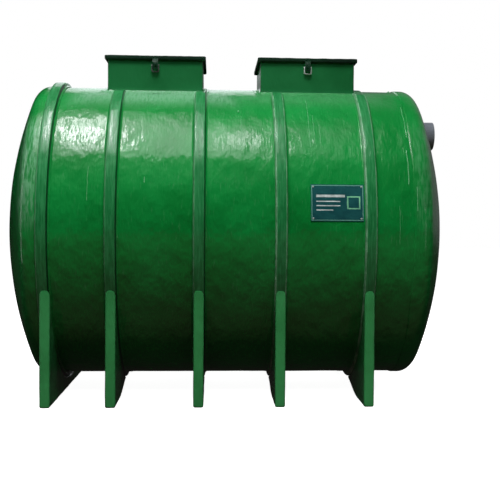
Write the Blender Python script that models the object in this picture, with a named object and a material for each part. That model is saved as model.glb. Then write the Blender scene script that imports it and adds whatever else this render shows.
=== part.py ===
"""Horizontal glass-fibre biogas digester tank with two hinged manhole lids.

The tank lies along X. The front, with the sign plate and the lids' locking straps, faces -Y,
and the outlet pipe leaves the end at +X. The origin is on the floor, midway between the crowns
of the two ends, below the barrel's axis. All sizes are in metres.
"""
import math

import bmesh
import bpy
from mathutils import Matrix, Vector

# Barrel and ends
BARREL_RADIUS = 0.800
BARREL_LENGTH = 1.942
WALL = 0.010
AXIS_HEIGHT = 0.880
END_DEPTH = 0.222
KNUCKLE_RADIUS = 0.072
KNUCKLE_STEPS = 4
CROWN_STEPS = 4
SKIRT_LAP = 0.038
SKIRT_WALL = 0.005

# Hoops and legs, from the left end to the right
HOOP_CENTRES = (-0.920, -0.585, -0.147, 0.264, 0.715)
HOOP_HEIGHT = 0.028
HOOP_SHOULDER = 0.021
HOOP_FOOT_WIDTH = 0.068
HOOP_WIDTH = 0.060
HOOP_CREST_WIDTH = 0.050
LEG_CENTRES = (-0.908, -0.585, -0.147, 0.264, 0.715)
LEG_THICKNESS = 0.052
LEG_REACH = 0.775
LEG_FOOT_INNER = 0.500
LEG_TOE = 0.160
LEG_ARCH_HEIGHT = 0.052
LEG_ARCH_POWER = 1.3
LEG_ARCH_STEPS = 5
LEG_CORNER_RADIUS = 0.008
LEG_CORNER_STEPS = 2

# Manhole necks and lids
MANHOLES = {"left": -0.395, "right": 0.437}
NECK_SIDE = 0.516
NECK_WALL = 0.008
LID_TOP = 0.953
LID_SHEET = 0.008
LID_DEPTH = 0.022
LID_LIP_WALL = 0.006
LID_OVERHANG = 0.016
GASKET_HEIGHT = 0.004

# Hinges behind each lid
HINGE_OFFSETS = (-0.150, 0.150)
HINGE_SETBACK = 0.018
HINGE_PIN_RADIUS = 0.004
HINGE_PIN_CLEARANCE = 0.0005
HINGE_KNUCKLE_RADIUS = 0.010
HINGE_NOTCH = 0.005
HINGE_LENGTH = 0.060
HINGE_MIDDLE = 0.024
HINGE_SIDE_GAP = 0.001
HINGE_SHEET = 0.003
HINGE_LEAF_REACH = 0.075
BRACKET_ARM_DROP = 0.029
BRACKET_ARM_HEIGHT = 0.007
BRACKET_PLATE_HEIGHT = 0.050
BRACKET_POST_DEPTH = 0.014

# Locking strap and staple in front of each lid
STRAP_WIDTH = 0.031
STRAP_SHEET = 0.004
STRAP_JOGGLE = 0.0072
STRAP_TOP_DROP = 0.003
STRAP_JOGGLE_DROP = (0.024, 0.034)
STRAP_LENGTH = 0.074
STRAP_EYE_RADIUS = 0.007
STRAP_EYE_DROP = 0.061
STRAP_EYE_REACH = 0.048
STAPLE_BAR_RADIUS = 0.004
STAPLE_WIDTH = 0.036
STAPLE_TOP_DROP = 0.050
STAPLE_DEPTH = 0.038
STAPLE_STAND_OFF = 0.014
STAPLE_BEND_RADIUS = 0.009
STAPLE_BEND_STEPS = 3
STAPLE_BEVEL_STEPS = 2

# Outlet pipe and sign plate
PIPE_RADIUS = 0.080
PIPE_WALL = 0.005
PIPE_RISE = 0.555
PIPE_INNER_END = 1.030
PIPE_SHORT_OF_CROWN = 0.005
SIGN_LEFT = 0.410
SIGN_WIDTH = 0.268
SIGN_LOW_ANGLE = 4.2
SIGN_HIGH_ANGLE = 17.6
SIGN_THICKNESS = 0.003

# Facets and the gap that touching pieces keep
FACETS = 64
PIPE_FACETS = 32
BAR_FACETS = 12
GAP = 0.0003

FACET_ANGLE = 2.0 * math.pi / FACETS
HALF_LENGTH = BARREL_LENGTH / 2.0
HOOP_RADIUS = BARREL_RADIUS + HOOP_HEIGHT
LID_TOP_Z = AXIS_HEIGHT + LID_TOP
LID_UNDER_Z = LID_TOP_Z - LID_SHEET
GASKET_LOW_Z = LID_UNDER_Z - GAP - GASKET_HEIGHT
NECK_TOP_Z = GASKET_LOW_Z - GAP
NECK_HALF = NECK_SIDE / 2.0
LID_HALF = NECK_HALF + LID_OVERHANG
HINGE_Y = LID_HALF + HINGE_SETBACK
HINGE_Z = LID_UNDER_Z


def clear_scene():
    for item in list(bpy.data.objects):
        bpy.data.objects.remove(item, do_unlink=True)


def make_material(name, colour, roughness, metallic=0.0):
    material = bpy.data.materials.new(name)
    material.use_nodes = True
    shader = material.node_tree.nodes["Principled BSDF"]
    shader.inputs["Base Color"].default_value = (*colour, 1.0)
    shader.inputs["Roughness"].default_value = roughness
    shader.inputs["Metallic"].default_value = metallic
    return material


def add_object(name, mesh, material, location=(0.0, 0.0, 0.0), parent=None):
    """Make a named object with its faces pointing out. Under a parent, the mesh keeps its place."""
    if parent is not None:
        bmesh.ops.translate(mesh, verts=mesh.verts, vec=-parent.location)
    bmesh.ops.recalc_face_normals(mesh, faces=mesh.faces)
    data = bpy.data.meshes.new(name)
    mesh.to_mesh(data)
    mesh.free()
    if material is not None:
        data.materials.append(material)
    item = bpy.data.objects.new(name, data)
    item.location = location
    item.parent = parent
    bpy.context.scene.collection.objects.link(item)
    return item


def shade_round(item, sharp_degrees=30.0):
    item.data.shade_smooth()
    item.data.set_sharp_from_angle(angle=math.radians(sharp_degrees))


def add_revolved(mesh, outline, angles, closed, centre=(0.0, 0.0)):
    """Sweep an outline of (x, radius) points round a line parallel to X."""
    poles = {}
    columns = []
    for angle in angles:
        column = []
        for x, radius in outline:
            if radius == 0.0 and x in poles:
                column.append(poles[x])
                continue
            vertex = mesh.verts.new((x, centre[0] + radius * math.cos(angle),
                                     centre[1] + radius * math.sin(angle)))
            if radius == 0.0:
                poles[x] = vertex
            column.append(vertex)
        columns.append(column)
    pairs = list(zip(columns, columns[1:]))
    if closed:
        pairs.append((columns[-1], columns[0]))
    for near, far in pairs:
        for k in range(len(outline)):
            corners = (near[k - 1], near[k], far[k], far[k - 1])
            corners = list(dict.fromkeys(corners))
            if len(corners) > 2:
                mesh.faces.new(corners)
    if not closed:
        mesh.faces.new(columns[0])
        mesh.faces.new(columns[-1])


def full_turn(facets=FACETS):
    return [2.0 * math.pi * k / facets for k in range(facets)]


def add_box(mesh, low, high):
    corners = [mesh.verts.new((x, y, z)) for x in (low[0], high[0])
               for y in (low[1], high[1]) for z in (low[2], high[2])]
    for face in ((0, 1, 3, 2), (4, 6, 7, 5), (0, 4, 5, 1), (2, 3, 7, 6), (0, 2, 6, 4), (1, 5, 7, 3)):
        mesh.faces.new([corners[k] for k in face])


def add_prism(mesh, near, far):
    """Join two copies of an outline by straight sides."""
    near = [mesh.verts.new(point) for point in near]
    far = [mesh.verts.new(point) for point in far]
    mesh.faces.new(near)
    mesh.faces.new(far)
    for k in range(len(near)):
        mesh.faces.new((near[k - 1], near[k], far[k], far[k - 1]))


def add_slab(mesh, outline, low_x, high_x):
    """Stretch an outline of (y, z) points along X."""
    add_prism(mesh, [(low_x, y, z) for y, z in outline], [(high_x, y, z) for y, z in outline])


def add_plate(mesh, outline, low_z, high_z):
    """Stretch an outline of (x, y) points along Z."""
    add_prism(mesh, [(x, y, low_z) for x, y in outline], [(x, y, high_z) for x, y in outline])


def make_cutter(name, mesh):
    cutter = add_object(name, mesh, None)
    cutter.hide_render = True
    cutter.display_type = "WIRE"
    return cutter


def combine(item, other, operation):
    change = item.modifiers.new(other.name, "BOOLEAN")
    change.operation = operation
    change.solver = "EXACT"
    change.object = other


def box_cutter(name, low, high):
    mesh = bmesh.new()
    add_box(mesh, low, high)
    return make_cutter(name, mesh)


def axis_cylinder_cutter(name, radius):
    """A cylinder round the tank's axis, longer than the tank, with the barrel's own facets."""
    mesh = bmesh.new()
    outline = [(-2.0 * HALF_LENGTH, 0.0), (-2.0 * HALF_LENGTH, radius),
               (2.0 * HALF_LENGTH, radius), (2.0 * HALF_LENGTH, 0.0)]
    add_revolved(mesh, outline, full_turn(), True, (0.0, AXIS_HEIGHT))
    return make_cutter(name, mesh)


def facet_radius(radius, angle):
    """Distance from the axis to a faceted circle, at any angle."""
    within = angle % FACET_ANGLE - FACET_ANGLE / 2.0
    return radius * math.cos(FACET_ANGLE / 2.0) / math.cos(within)


def facet_point(radius, angle):
    reach = facet_radius(radius, angle)
    return reach * math.cos(angle), AXIS_HEIGHT + reach * math.sin(angle)


def manhole_cutters(label, half):
    """Square shafts through the barrel's top, one at each manhole."""
    top = AXIS_HEIGHT + 2.0 * BARREL_RADIUS
    return [box_cutter(f"{label}_{side}", (x - half, -half, AXIS_HEIGHT), (x + half, half, top))
            for side, x in MANHOLES.items()]


def build_barrel(material):
    """Four staves of a quarter turn each, the top one pierced for the manholes."""
    inner = BARREL_RADIUS - WALL
    outline = [(-HALF_LENGTH, inner), (-HALF_LENGTH, BARREL_RADIUS),
               (HALF_LENGTH, BARREL_RADIUS), (HALF_LENGTH, inner)]
    quarter = FACETS // 4
    trim = GAP / 2.0 / BARREL_RADIUS
    for name, middle in (("top", 90), ("front", 180), ("bottom", 270), ("back", 0)):
        first = math.radians(middle) - quarter / 2 * FACET_ANGLE
        angles = [first + k * FACET_ANGLE for k in range(quarter + 1)]
        angles[0] += trim
        angles[-1] -= trim
        mesh = bmesh.new()
        add_revolved(mesh, outline, angles, False)
        stave = add_object(f"barrel_{name}", mesh, material, (0.0, 0.0, AXIS_HEIGHT))
        if name == "top":
            for cutter in manhole_cutters("hole", NECK_HALF - NECK_WALL):
                combine(stave, cutter, "DIFFERENCE")


def end_curve():
    """Radius of the knuckle's centre line, the crown's radius, and the angle where they meet."""
    across = BARREL_RADIUS + SKIRT_WALL - KNUCKLE_RADIUS
    crown = ((END_DEPTH ** 2 + across ** 2 - KNUCKLE_RADIUS ** 2)
             / (2.0 * (END_DEPTH - KNUCKLE_RADIUS)))
    return across, crown, math.asin(across / (crown - KNUCKLE_RADIUS))


def knuckle_arc(offset):
    """Points of the knuckle, from the skirt to the dish, moved inwards by offset."""
    across, _, turn = end_curve()
    bend = KNUCKLE_RADIUS - offset
    angles = [math.pi / 2.0 + (turn - math.pi / 2.0) * k / KNUCKLE_STEPS
              for k in range(KNUCKLE_STEPS + 1)]
    return [(bend * math.cos(angle), across + bend * math.sin(angle)) for angle in angles]


def crown_arc(offset):
    """Points of the dish, from its rim to the crown, moved inwards by offset."""
    _, crown, turn = end_curve()
    rim = turn - GAP / crown
    bend = crown - offset
    angles = [rim * (1.0 - k / CROWN_STEPS) for k in range(CROWN_STEPS)]
    points = [(END_DEPTH - crown + bend * math.cos(angle), bend * math.sin(angle)) for angle in angles]
    return points + [(END_DEPTH - offset, 0.0)]


def build_end_piece(name, side, outline, material):
    """Turn an outline, drawn from the barrel's edge, round the axis at one end."""
    mesh = bmesh.new()
    placed = [(side * (HALF_LENGTH + x), radius) for x, radius in outline]
    add_revolved(mesh, placed, full_turn(), True)
    piece = add_object(name, mesh, material, (0.0, 0.0, AXIS_HEIGHT))
    shade_round(piece)
    return piece


def build_end_rim(name, side, material):
    """The end's skirt, which laps over the barrel, and the knuckle that turns into the dish."""
    outer = BARREL_RADIUS + SKIRT_WALL
    inner = BARREL_RADIUS + GAP
    shell = knuckle_arc(WALL)
    shell[0] = (GAP, shell[0][1])
    outline = [(-SKIRT_LAP, inner), (-SKIRT_LAP, outer)] + knuckle_arc(0.0)
    outline += list(reversed(shell)) + [(GAP, inner)]
    return build_end_piece(name, side, outline, material)


def build_end_dish(name, side, material):
    """The end's shallow dish, from the knuckle to the crown."""
    outline = crown_arc(0.0) + list(reversed(crown_arc(WALL)))
    return build_end_piece(name, side, outline, material)


def build_hoop(name, centre, under_skirt, material):
    """A flat rib with sloped flanks; the first one also steps over the left end's skirt."""
    inner = BARREL_RADIUS + GAP
    outline = [(-HOOP_FOOT_WIDTH / 2.0, inner), (-HOOP_WIDTH / 2.0, BARREL_RADIUS + HOOP_SHOULDER),
               (-HOOP_CREST_WIDTH / 2.0, HOOP_RADIUS), (HOOP_CREST_WIDTH / 2.0, HOOP_RADIUS),
               (HOOP_WIDTH / 2.0, BARREL_RADIUS + HOOP_SHOULDER), (HOOP_FOOT_WIDTH / 2.0, inner)]
    outline = [(centre + x, radius) for x, radius in outline]
    if under_skirt:
        step = -HALF_LENGTH + SKIRT_LAP + GAP
        over = inner + SKIRT_WALL
        outline[0] = (outline[0][0], over)
        outline += [(step, inner), (step, over)]
    mesh = bmesh.new()
    add_revolved(mesh, outline, full_turn(), True)
    return add_object(name, mesh, material, (0.0, 0.0, AXIS_HEIGHT))


def build_hoops(material):
    cutters = manhole_cutters("clearance", NECK_HALF + GAP)
    for number, centre in enumerate(HOOP_CENTRES, 1):
        hoop = build_hoop(f"hoop_{number}", centre, number == 1, material)
        for cutter, neck in zip(cutters, MANHOLES.values()):
            if abs(centre - neck) < NECK_HALF + HOOP_FOOT_WIDTH:
                combine(hoop, cutter, "DIFFERENCE")


def arch_points():
    """Underside of an arched leg as (y, z), from its toe to where it meets the floor."""
    points = []
    for k in range(LEG_ARCH_STEPS + 1):
        share = 1.0 - k / LEG_ARCH_STEPS
        points.append((-LEG_FOOT_INNER + (LEG_FOOT_INNER - LEG_TOE) * share,
                       LEG_ARCH_HEIGHT * share ** LEG_ARCH_POWER))
    return points


def leg_outline(toe, underside):
    """Front leg as (y, z): the hoop's curve, the underside, then the straight outer edge."""
    cradle = HOOP_RADIUS + GAP
    first = math.pi + math.acos(LEG_REACH / cradle)
    last = 1.5 * math.pi - math.asin(toe / cradle)
    angles = [first]
    step = math.floor(first / FACET_ANGLE) + 1
    while step * FACET_ANGLE < last:
        angles.append(step * FACET_ANGLE)
        step += 1
    angles.append(last)
    points = [facet_point(cradle, angle) for angle in angles] + underside
    for k in range(LEG_CORNER_STEPS + 1):
        turn = math.pi / 2.0 * k / LEG_CORNER_STEPS
        points.append((-LEG_REACH + LEG_CORNER_RADIUS * (1.0 - math.sin(turn)),
                       LEG_CORNER_RADIUS * (1.0 - math.cos(turn))))
    return points


def build_legs(material):
    """The first pair is flat underneath and meets in the middle; the others are arched."""
    flat = leg_outline(GAP / 2.0, [(-GAP / 2.0, 0.0)])
    arched = leg_outline(LEG_TOE, arch_points())
    for number, centre in enumerate(LEG_CENTRES, 1):
        front = flat if number == 1 else arched
        back = [(-y, z) for y, z in front]
        for place, outline in (("front", front), ("back", back)):
            mesh = bmesh.new()
            add_slab(mesh, outline, centre - LEG_THICKNESS / 2.0, centre + LEG_THICKNESS / 2.0)
            add_object(f"{place}_leg_{number}", mesh, material)


def build_neck(side, x, material):
    """A square tube that stands on the barrel round its opening."""
    low_z = AXIS_HEIGHT + BARREL_RADIUS / 2.0
    mesh = bmesh.new()
    add_box(mesh, (x - NECK_HALF, -NECK_HALF, low_z), (x + NECK_HALF, NECK_HALF, NECK_TOP_Z))
    neck = add_object(f"neck_{side}", mesh, material)
    half = NECK_HALF - NECK_WALL
    inside = box_cutter(f"neck_inside_{side}", (x - half, -half, low_z - WALL),
                        (x + half, half, NECK_TOP_Z + WALL))
    combine(neck, inside, "DIFFERENCE")
    combine(neck, bpy.data.objects["barrel_clearance"], "DIFFERENCE")


def build_gasket(side, x, material):
    low_z = GASKET_LOW_Z
    high_z = GASKET_LOW_Z + GASKET_HEIGHT
    mesh = bmesh.new()
    add_box(mesh, (x - NECK_HALF, -NECK_HALF, low_z), (x + NECK_HALF, NECK_HALF, high_z))
    gasket = add_object(f"gasket_{side}", mesh, material)
    half = NECK_HALF - NECK_WALL
    inside = box_cutter(f"gasket_inside_{side}", (x - half, -half, low_z - WALL),
                        (x + half, half, high_z + WALL))
    combine(gasket, inside, "DIFFERENCE")


def build_lid(side, x, pivot, material):
    """A shallow pan turned over the neck."""
    low = (x - LID_HALF, -LID_HALF, LID_TOP_Z - LID_DEPTH)
    high = (x + LID_HALF, LID_HALF, LID_TOP_Z)
    mesh = bmesh.new()
    add_box(mesh, low, high)
    lid = add_object(f"lid_{side}", mesh, material, parent=pivot)
    inner = LID_HALF - LID_LIP_WALL
    hollow = box_cutter(f"lid_hollow_{side}", (x - inner, -inner, LID_TOP_Z - 2.0 * LID_DEPTH),
                        (x + inner, inner, LID_UNDER_Z))
    combine(lid, hollow, "DIFFERENCE")


def knuckle_spans():
    """X ranges of a hinge's middle knuckle and its two side knuckles, from its centre."""
    middle = HINGE_MIDDLE / 2.0
    inner = middle + HINGE_SIDE_GAP
    outer = HINGE_LENGTH / 2.0
    return (-middle, middle), ((-outer, -inner), (inner, outer))


def add_rod(mesh, low_x, high_x, radius, centre, facets=BAR_FACETS):
    outline = [(low_x, 0.0), (low_x, radius), (high_x, radius), (high_x, 0.0)]
    add_revolved(mesh, outline, full_turn(facets), True, centre)


def build_bracket(name, x, material):
    """Fixed hinge half: wall plate, arm below the lid's lip, post, middle knuckle and pin."""
    middle, _ = knuckle_spans()
    low_x, high_x = (x + reach for reach in middle)
    wall_y = NECK_HALF + GAP
    arm_z = HINGE_Z - BRACKET_ARM_DROP
    arm_top = arm_z + BRACKET_ARM_HEIGHT
    post_low_y = HINGE_Y - BRACKET_POST_DEPTH / 2.0
    post_high_y = HINGE_Y + BRACKET_POST_DEPTH / 2.0
    plate_low = arm_top - BRACKET_PLATE_HEIGHT
    outline = [(wall_y, plate_low), (wall_y + HINGE_SHEET, plate_low), (wall_y + HINGE_SHEET, arm_z),
               (post_high_y, arm_z), (post_high_y, HINGE_Z), (post_low_y, HINGE_Z),
               (post_low_y, arm_top), (wall_y, arm_top)]
    mesh = bmesh.new()
    add_slab(mesh, outline, low_x, high_x)
    item = add_object(name, mesh, material)
    knuckle = bmesh.new()
    add_rod(knuckle, low_x, high_x, HINGE_KNUCKLE_RADIUS, (HINGE_Y, HINGE_Z))
    pin = bmesh.new()
    half_pin = HINGE_LENGTH / 2.0 + HINGE_SHEET
    add_rod(pin, x - half_pin, x + half_pin, HINGE_PIN_RADIUS, (HINGE_Y, HINGE_Z))
    combine(item, make_cutter(f"{name}_knuckle", knuckle), "UNION")
    combine(item, make_cutter(f"{name}_pin", pin), "UNION")


def leaf_outline(x):
    """A hinge leaf seen from above: a plate with two fingers that reach over the pin."""
    outer = HINGE_LENGTH / 2.0
    inner = HINGE_MIDDLE / 2.0 + HINGE_SIDE_GAP
    tip = HINGE_KNUCKLE_RADIUS / 2.0
    notch = -HINGE_KNUCKLE_RADIUS - HINGE_NOTCH
    points = ((-outer, -HINGE_LEAF_REACH), (outer, -HINGE_LEAF_REACH), (outer, tip), (inner, tip),
              (inner, notch), (-inner, notch), (-inner, tip), (-outer, tip))
    return [(x + across, HINGE_Y + along) for across, along in points]


def build_leaf(name, x, pivot, material):
    """Moving hinge half: a leaf on the lid's top that ends in two knuckles round the pin."""
    low_z = LID_TOP_Z + GAP
    mesh = bmesh.new()
    add_plate(mesh, leaf_outline(x), low_z, low_z + HINGE_SHEET)
    item = add_object(name, mesh, material, parent=pivot)
    _, sides = knuckle_spans()
    for place, (low, high) in zip(("near", "far"), sides):
        knuckle = bmesh.new()
        add_rod(knuckle, x + low, x + high, HINGE_KNUCKLE_RADIUS, (HINGE_Y, HINGE_Z))
        combine(item, make_cutter(f"{name}_{place}_knuckle", knuckle), "UNION")
    bore = bmesh.new()
    add_rod(bore, x - HINGE_LENGTH, x + HINGE_LENGTH, HINGE_PIN_RADIUS + HINGE_PIN_CLEARANCE,
            (HINGE_Y, HINGE_Z))
    combine(item, make_cutter(f"{name}_bore", bore), "DIFFERENCE")


def build_strap(side, x, pivot, material):
    """A joggled strap that hangs from the lid's front lip and stands clear of the staple."""
    back = -LID_HALF - GAP
    top = LID_TOP_Z - STRAP_TOP_DROP
    bend_top, bend_low = (LID_TOP_Z - drop for drop in STRAP_JOGGLE_DROP)
    low = LID_TOP_Z - STRAP_LENGTH
    front = back - STRAP_JOGGLE
    spine = ((back, top), (back, bend_top), (front, bend_low), (front, low))
    outline = list(spine) + [(y - STRAP_SHEET, z) for y, z in reversed(spine)]
    mesh = bmesh.new()
    add_slab(mesh, outline, x - STRAP_WIDTH / 2.0, x + STRAP_WIDTH / 2.0)
    strap = add_object(f"strap_{side}", mesh, material, parent=pivot)
    eye = bmesh.new()
    centre = Matrix.Translation((x, back, LID_TOP_Z - STRAP_EYE_DROP))
    place = centre @ Matrix.Rotation(math.pi / 2.0, 4, "X")
    bmesh.ops.create_cone(eye, cap_ends=True, segments=BAR_FACETS, radius1=STRAP_EYE_RADIUS,
                          radius2=STRAP_EYE_RADIUS, depth=STRAP_EYE_REACH, matrix=place)
    combine(strap, make_cutter(f"strap_eye_{side}", eye), "DIFFERENCE")


def rounded_path(corners, radius, steps):
    """A route through the corners, each one rounded by a short curve."""
    points = [corners[0]]
    for before, corner, after in zip(corners, corners[1:], corners[2:]):
        start = corner + (before - corner).normalized() * radius
        end = corner + (after - corner).normalized() * radius
        for k in range(steps + 1):
            t = k / steps
            points.append(start * (1.0 - t) ** 2 + corner * 2.0 * t * (1.0 - t) + end * t ** 2)
    points.append(corners[-1])
    return points


def build_staple(side, x, material):
    """A round bar bent to a U, both legs turned back into the neck's front wall."""
    wall = -NECK_HALF - GAP
    front = -NECK_HALF - STAPLE_STAND_OFF
    top = LID_TOP_Z - STAPLE_TOP_DROP
    low = top - STAPLE_DEPTH
    half = STAPLE_WIDTH / 2.0
    corners = [Vector(point) for point in (
        (x - half, wall, top), (x - half, front, top), (x - half, front, low),
        (x + half, front, low), (x + half, front, top), (x + half, wall, top))]
    points = rounded_path(corners, STAPLE_BEND_RADIUS, STAPLE_BEND_STEPS)
    data = bpy.data.curves.new(f"staple_{side}", "CURVE")
    data.dimensions = "3D"
    data.bevel_depth = STAPLE_BAR_RADIUS
    data.bevel_resolution = STAPLE_BEVEL_STEPS
    data.use_fill_caps = True
    spline = data.splines.new("POLY")
    spline.points.add(len(points) - 1)
    for place, point in zip(spline.points, points):
        place.co = (*point, 1.0)
    data.materials.append(material)
    item = bpy.data.objects.new(f"staple_{side}", data)
    bpy.context.scene.collection.objects.link(item)


def build_pipe(material):
    """A pipe stub through the right-hand end, and the hole that it passes through."""
    centre = (0.0, AXIS_HEIGHT + PIPE_RISE)
    near = PIPE_INNER_END
    far = HALF_LENGTH + END_DEPTH - PIPE_SHORT_OF_CROWN
    inner = PIPE_RADIUS - PIPE_WALL
    outline = [(near, inner), (near, PIPE_RADIUS), (far, PIPE_RADIUS), (far, inner)]
    mesh = bmesh.new()
    add_revolved(mesh, outline, full_turn(PIPE_FACETS), True, centre)
    shade_round(add_object("outlet_pipe", mesh, material))
    hole = bmesh.new()
    add_rod(hole, near, far + END_DEPTH, PIPE_RADIUS + GAP, centre, PIPE_FACETS)
    return make_cutter("pipe_hole", hole)


def build_sign(material):
    """A thin plate, curved to the barrel, between the fourth and fifth hoops."""
    low = math.radians(180.0 - SIGN_HIGH_ANGLE)
    high = math.radians(180.0 - SIGN_LOW_ANGLE)
    angles = [low]
    step = math.floor(low / FACET_ANGLE) + 1
    while step * FACET_ANGLE < high:
        angles.append(step * FACET_ANGLE)
        step += 1
    angles.append(high)
    inner = BARREL_RADIUS + GAP
    outer = inner + SIGN_THICKNESS
    right = SIGN_LEFT + SIGN_WIDTH
    outline = [(SIGN_LEFT, inner), (SIGN_LEFT, outer), (right, outer), (right, inner)]
    mesh = bmesh.new()
    add_revolved(mesh, outline, angles, False)
    add_object("sign_plate", mesh, material, (0.0, 0.0, AXIS_HEIGHT))


def build_manhole(side, x, materials):
    pivot = bpy.data.objects.new(f"hinge_line_{side}", None)
    pivot.location = (x, HINGE_Y, HINGE_Z)
    bpy.context.scene.collection.objects.link(pivot)
    build_neck(side, x, materials["laminate"])
    build_gasket(side, x, materials["rubber"])
    build_lid(side, x, pivot, materials["lid"])
    for number, offset in enumerate(HINGE_OFFSETS, 1):
        build_bracket(f"hinge_bracket_{side}_{number}", x + offset, materials["steel"])
        build_leaf(f"hinge_leaf_{side}_{number}", x + offset, pivot, materials["steel"])
    build_strap(side, x, pivot, materials["steel"])
    build_staple(side, x, materials["bright"])


def main():
    clear_scene()
    materials = {
        "laminate": make_material("green laminate", (0.012, 0.180, 0.045), 0.28),
        "foot": make_material("pale green laminate", (0.020, 0.230, 0.060), 0.35),
        "lid": make_material("dark green laminate", (0.008, 0.110, 0.035), 0.35),
        "rubber": make_material("black rubber", (0.015, 0.015, 0.016), 0.80),
        "steel": make_material("painted steel", (0.010, 0.060, 0.030), 0.45, 0.3),
        "bright": make_material("galvanised steel", (0.45, 0.52, 0.48), 0.35, 1.0),
        "plastic": make_material("grey pipe plastic", (0.270, 0.275, 0.330), 0.40),
        "sign": make_material("teal plate", (0.010, 0.075, 0.080), 0.40),
    }
    axis_cylinder_cutter("barrel_clearance", BARREL_RADIUS + GAP)
    build_barrel(materials["laminate"])
    build_end_rim("left_end_rim", -1.0, materials["laminate"])
    build_end_dish("left_end_dish", -1.0, materials["laminate"])
    build_end_rim("right_end_rim", 1.0, materials["laminate"])
    right_dish = build_end_dish("right_end_dish", 1.0, materials["laminate"])
    combine(right_dish, build_pipe(materials["plastic"]), "DIFFERENCE")
    build_hoops(materials["laminate"])
    build_legs(materials["foot"])
    for side, x in MANHOLES.items():
        build_manhole(side, x, materials)
    build_sign(materials["sign"])


main()
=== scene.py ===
# %% [markdown]
# # A biogas digester tank of glass-fibre laminate
# The real tank is laid up by hand: mats of glass fibre are wetted with green resin over a mould,
# so every face is a little wavy and shines like wet paint. The imported model fixes each place and
# size. It is loaded first. The finished tank has to stay inside it.

# %% Load the imported model
import math

import bmesh
import bpy
from mathutils import Matrix, Vector, noise


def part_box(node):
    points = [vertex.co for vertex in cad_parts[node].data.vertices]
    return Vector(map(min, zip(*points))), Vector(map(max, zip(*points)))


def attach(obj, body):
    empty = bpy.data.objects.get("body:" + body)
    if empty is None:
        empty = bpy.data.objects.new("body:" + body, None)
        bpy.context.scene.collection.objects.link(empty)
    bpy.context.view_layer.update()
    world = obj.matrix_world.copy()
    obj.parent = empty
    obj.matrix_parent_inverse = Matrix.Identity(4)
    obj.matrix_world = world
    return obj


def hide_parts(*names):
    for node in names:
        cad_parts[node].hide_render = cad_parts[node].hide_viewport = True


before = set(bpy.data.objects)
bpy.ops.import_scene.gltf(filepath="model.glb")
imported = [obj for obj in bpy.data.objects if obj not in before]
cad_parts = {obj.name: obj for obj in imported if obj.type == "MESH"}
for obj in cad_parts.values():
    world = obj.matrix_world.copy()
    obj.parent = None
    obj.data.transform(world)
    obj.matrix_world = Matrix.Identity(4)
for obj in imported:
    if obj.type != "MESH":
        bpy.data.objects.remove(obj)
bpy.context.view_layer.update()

# %% [markdown]
# ## Camera
# A product photograph of a long tank is taken from its own height and from well back, so that
# the round ends stay round. The lens here is long, the camera stands a little left of the middle,
# and a small sideways shift keeps the tank centred without turning the view.

# %% Camera
VIEW_FROM = Vector((-0.0735, -5.8588, 0.9368))
VIEW_YAW, VIEW_PITCH, VIEW_ROLL = -0.0645, -0.0282, -0.0069
SENSOR_WIDTH = 36.0
FOCAL_LENGTH = 73.26
SIDE_SHIFT = -0.0591


def put(name, data):
    """Make an object of some data and link it to the scene."""
    item = bpy.data.objects.new(name, data)
    bpy.context.collection.objects.link(item)
    return item


lens = bpy.data.cameras.new("view")
lens.sensor_fit = "HORIZONTAL"
lens.sensor_width = SENSOR_WIDTH
lens.lens = FOCAL_LENGTH
lens.shift_x = SIDE_SHIFT
turn = (Matrix.Rotation(VIEW_YAW, 3, "Z") @ Matrix.Rotation(VIEW_ROLL, 3, "Y")
        @ Matrix.Rotation(VIEW_PITCH, 3, "X"))
level = Matrix.Rotation(math.pi / 2.0, 3, "X")
camera = put("camera", lens)
camera.matrix_world = Matrix.LocRotScale(VIEW_FROM, turn @ level, None)
bpy.context.scene.camera = camera
bpy.context.scene.view_settings.view_transform = "Standard"
print("camera at", [round(v, 3) for v in VIEW_FROM], "with a", FOCAL_LENGTH, "mm lens")

# %% [markdown]
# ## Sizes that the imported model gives
# Nothing is measured twice: the barrel's radius, its axis and the places of the necks and hoops
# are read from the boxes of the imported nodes. A dressed piece then fits what carries it.

# %% Read the sizes
SIDES = ("left", "right")
barrel_low, barrel_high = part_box("barrel_bottom")[0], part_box("barrel_top")[1]
RADIUS = (barrel_high.z - barrel_low.z) / 2.0
AXIS_Z = (barrel_high.z + barrel_low.z) / 2.0
HALF_LENGTH = barrel_high.x
WALL = 0.010
GAP = 0.0003
HOOPS = [sum(v.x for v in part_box(f"hoop_{k}")) / 2.0 for k in range(1, 6)]
FEET = [sum(v.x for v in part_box(f"front_leg_{k}")) / 2.0 for k in range(1, 6)]
NECKS = {side: sum(v.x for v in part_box(f"neck_{side}")) / 2.0 for side in SIDES}
NECK_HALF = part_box("neck_left")[1].y
NECK_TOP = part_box("neck_left")[1].z
END_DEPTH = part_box("right_end_dish")[1].x - HALF_LENGTH
print("barrel radius", round(RADIUS, 4), "axis height", round(AXIS_Z, 4), "hoops at",
      [round(x, 3) for x in HOOPS], "necks at", {k: round(v, 3) for k, v in NECKS.items()})

# %% [markdown]
# ## Surroundings
# A glossy tank shows what stands round it. Here that is a dim room with one bright patch of wall
# behind, so an edge that is seen at a glancing angle gets a pale rim, and a dull ground, so the
# belly stays dark. The camera itself sees plain white. Shader nodes read the direction of each
# ray and choose between these. Building nodes takes many lines, so small functions come first.

# %% Node helpers
def add_node(tree, kind, **settings):
    item = tree.nodes.new(kind)
    for name, value in settings.items():
        setattr(item, name, value)
    return item


def wire(tree, source, target, socket=0):
    """Connect an output, or set a plain value, to one input; a plain colour gets its alpha."""
    given = target.inputs[socket]
    if isinstance(source, (int, float, str, tuple)):
        given.default_value = (*source, 1.0) if given.type == "RGBA" else source
    else:
        tree.links.new(source, given)


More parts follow.
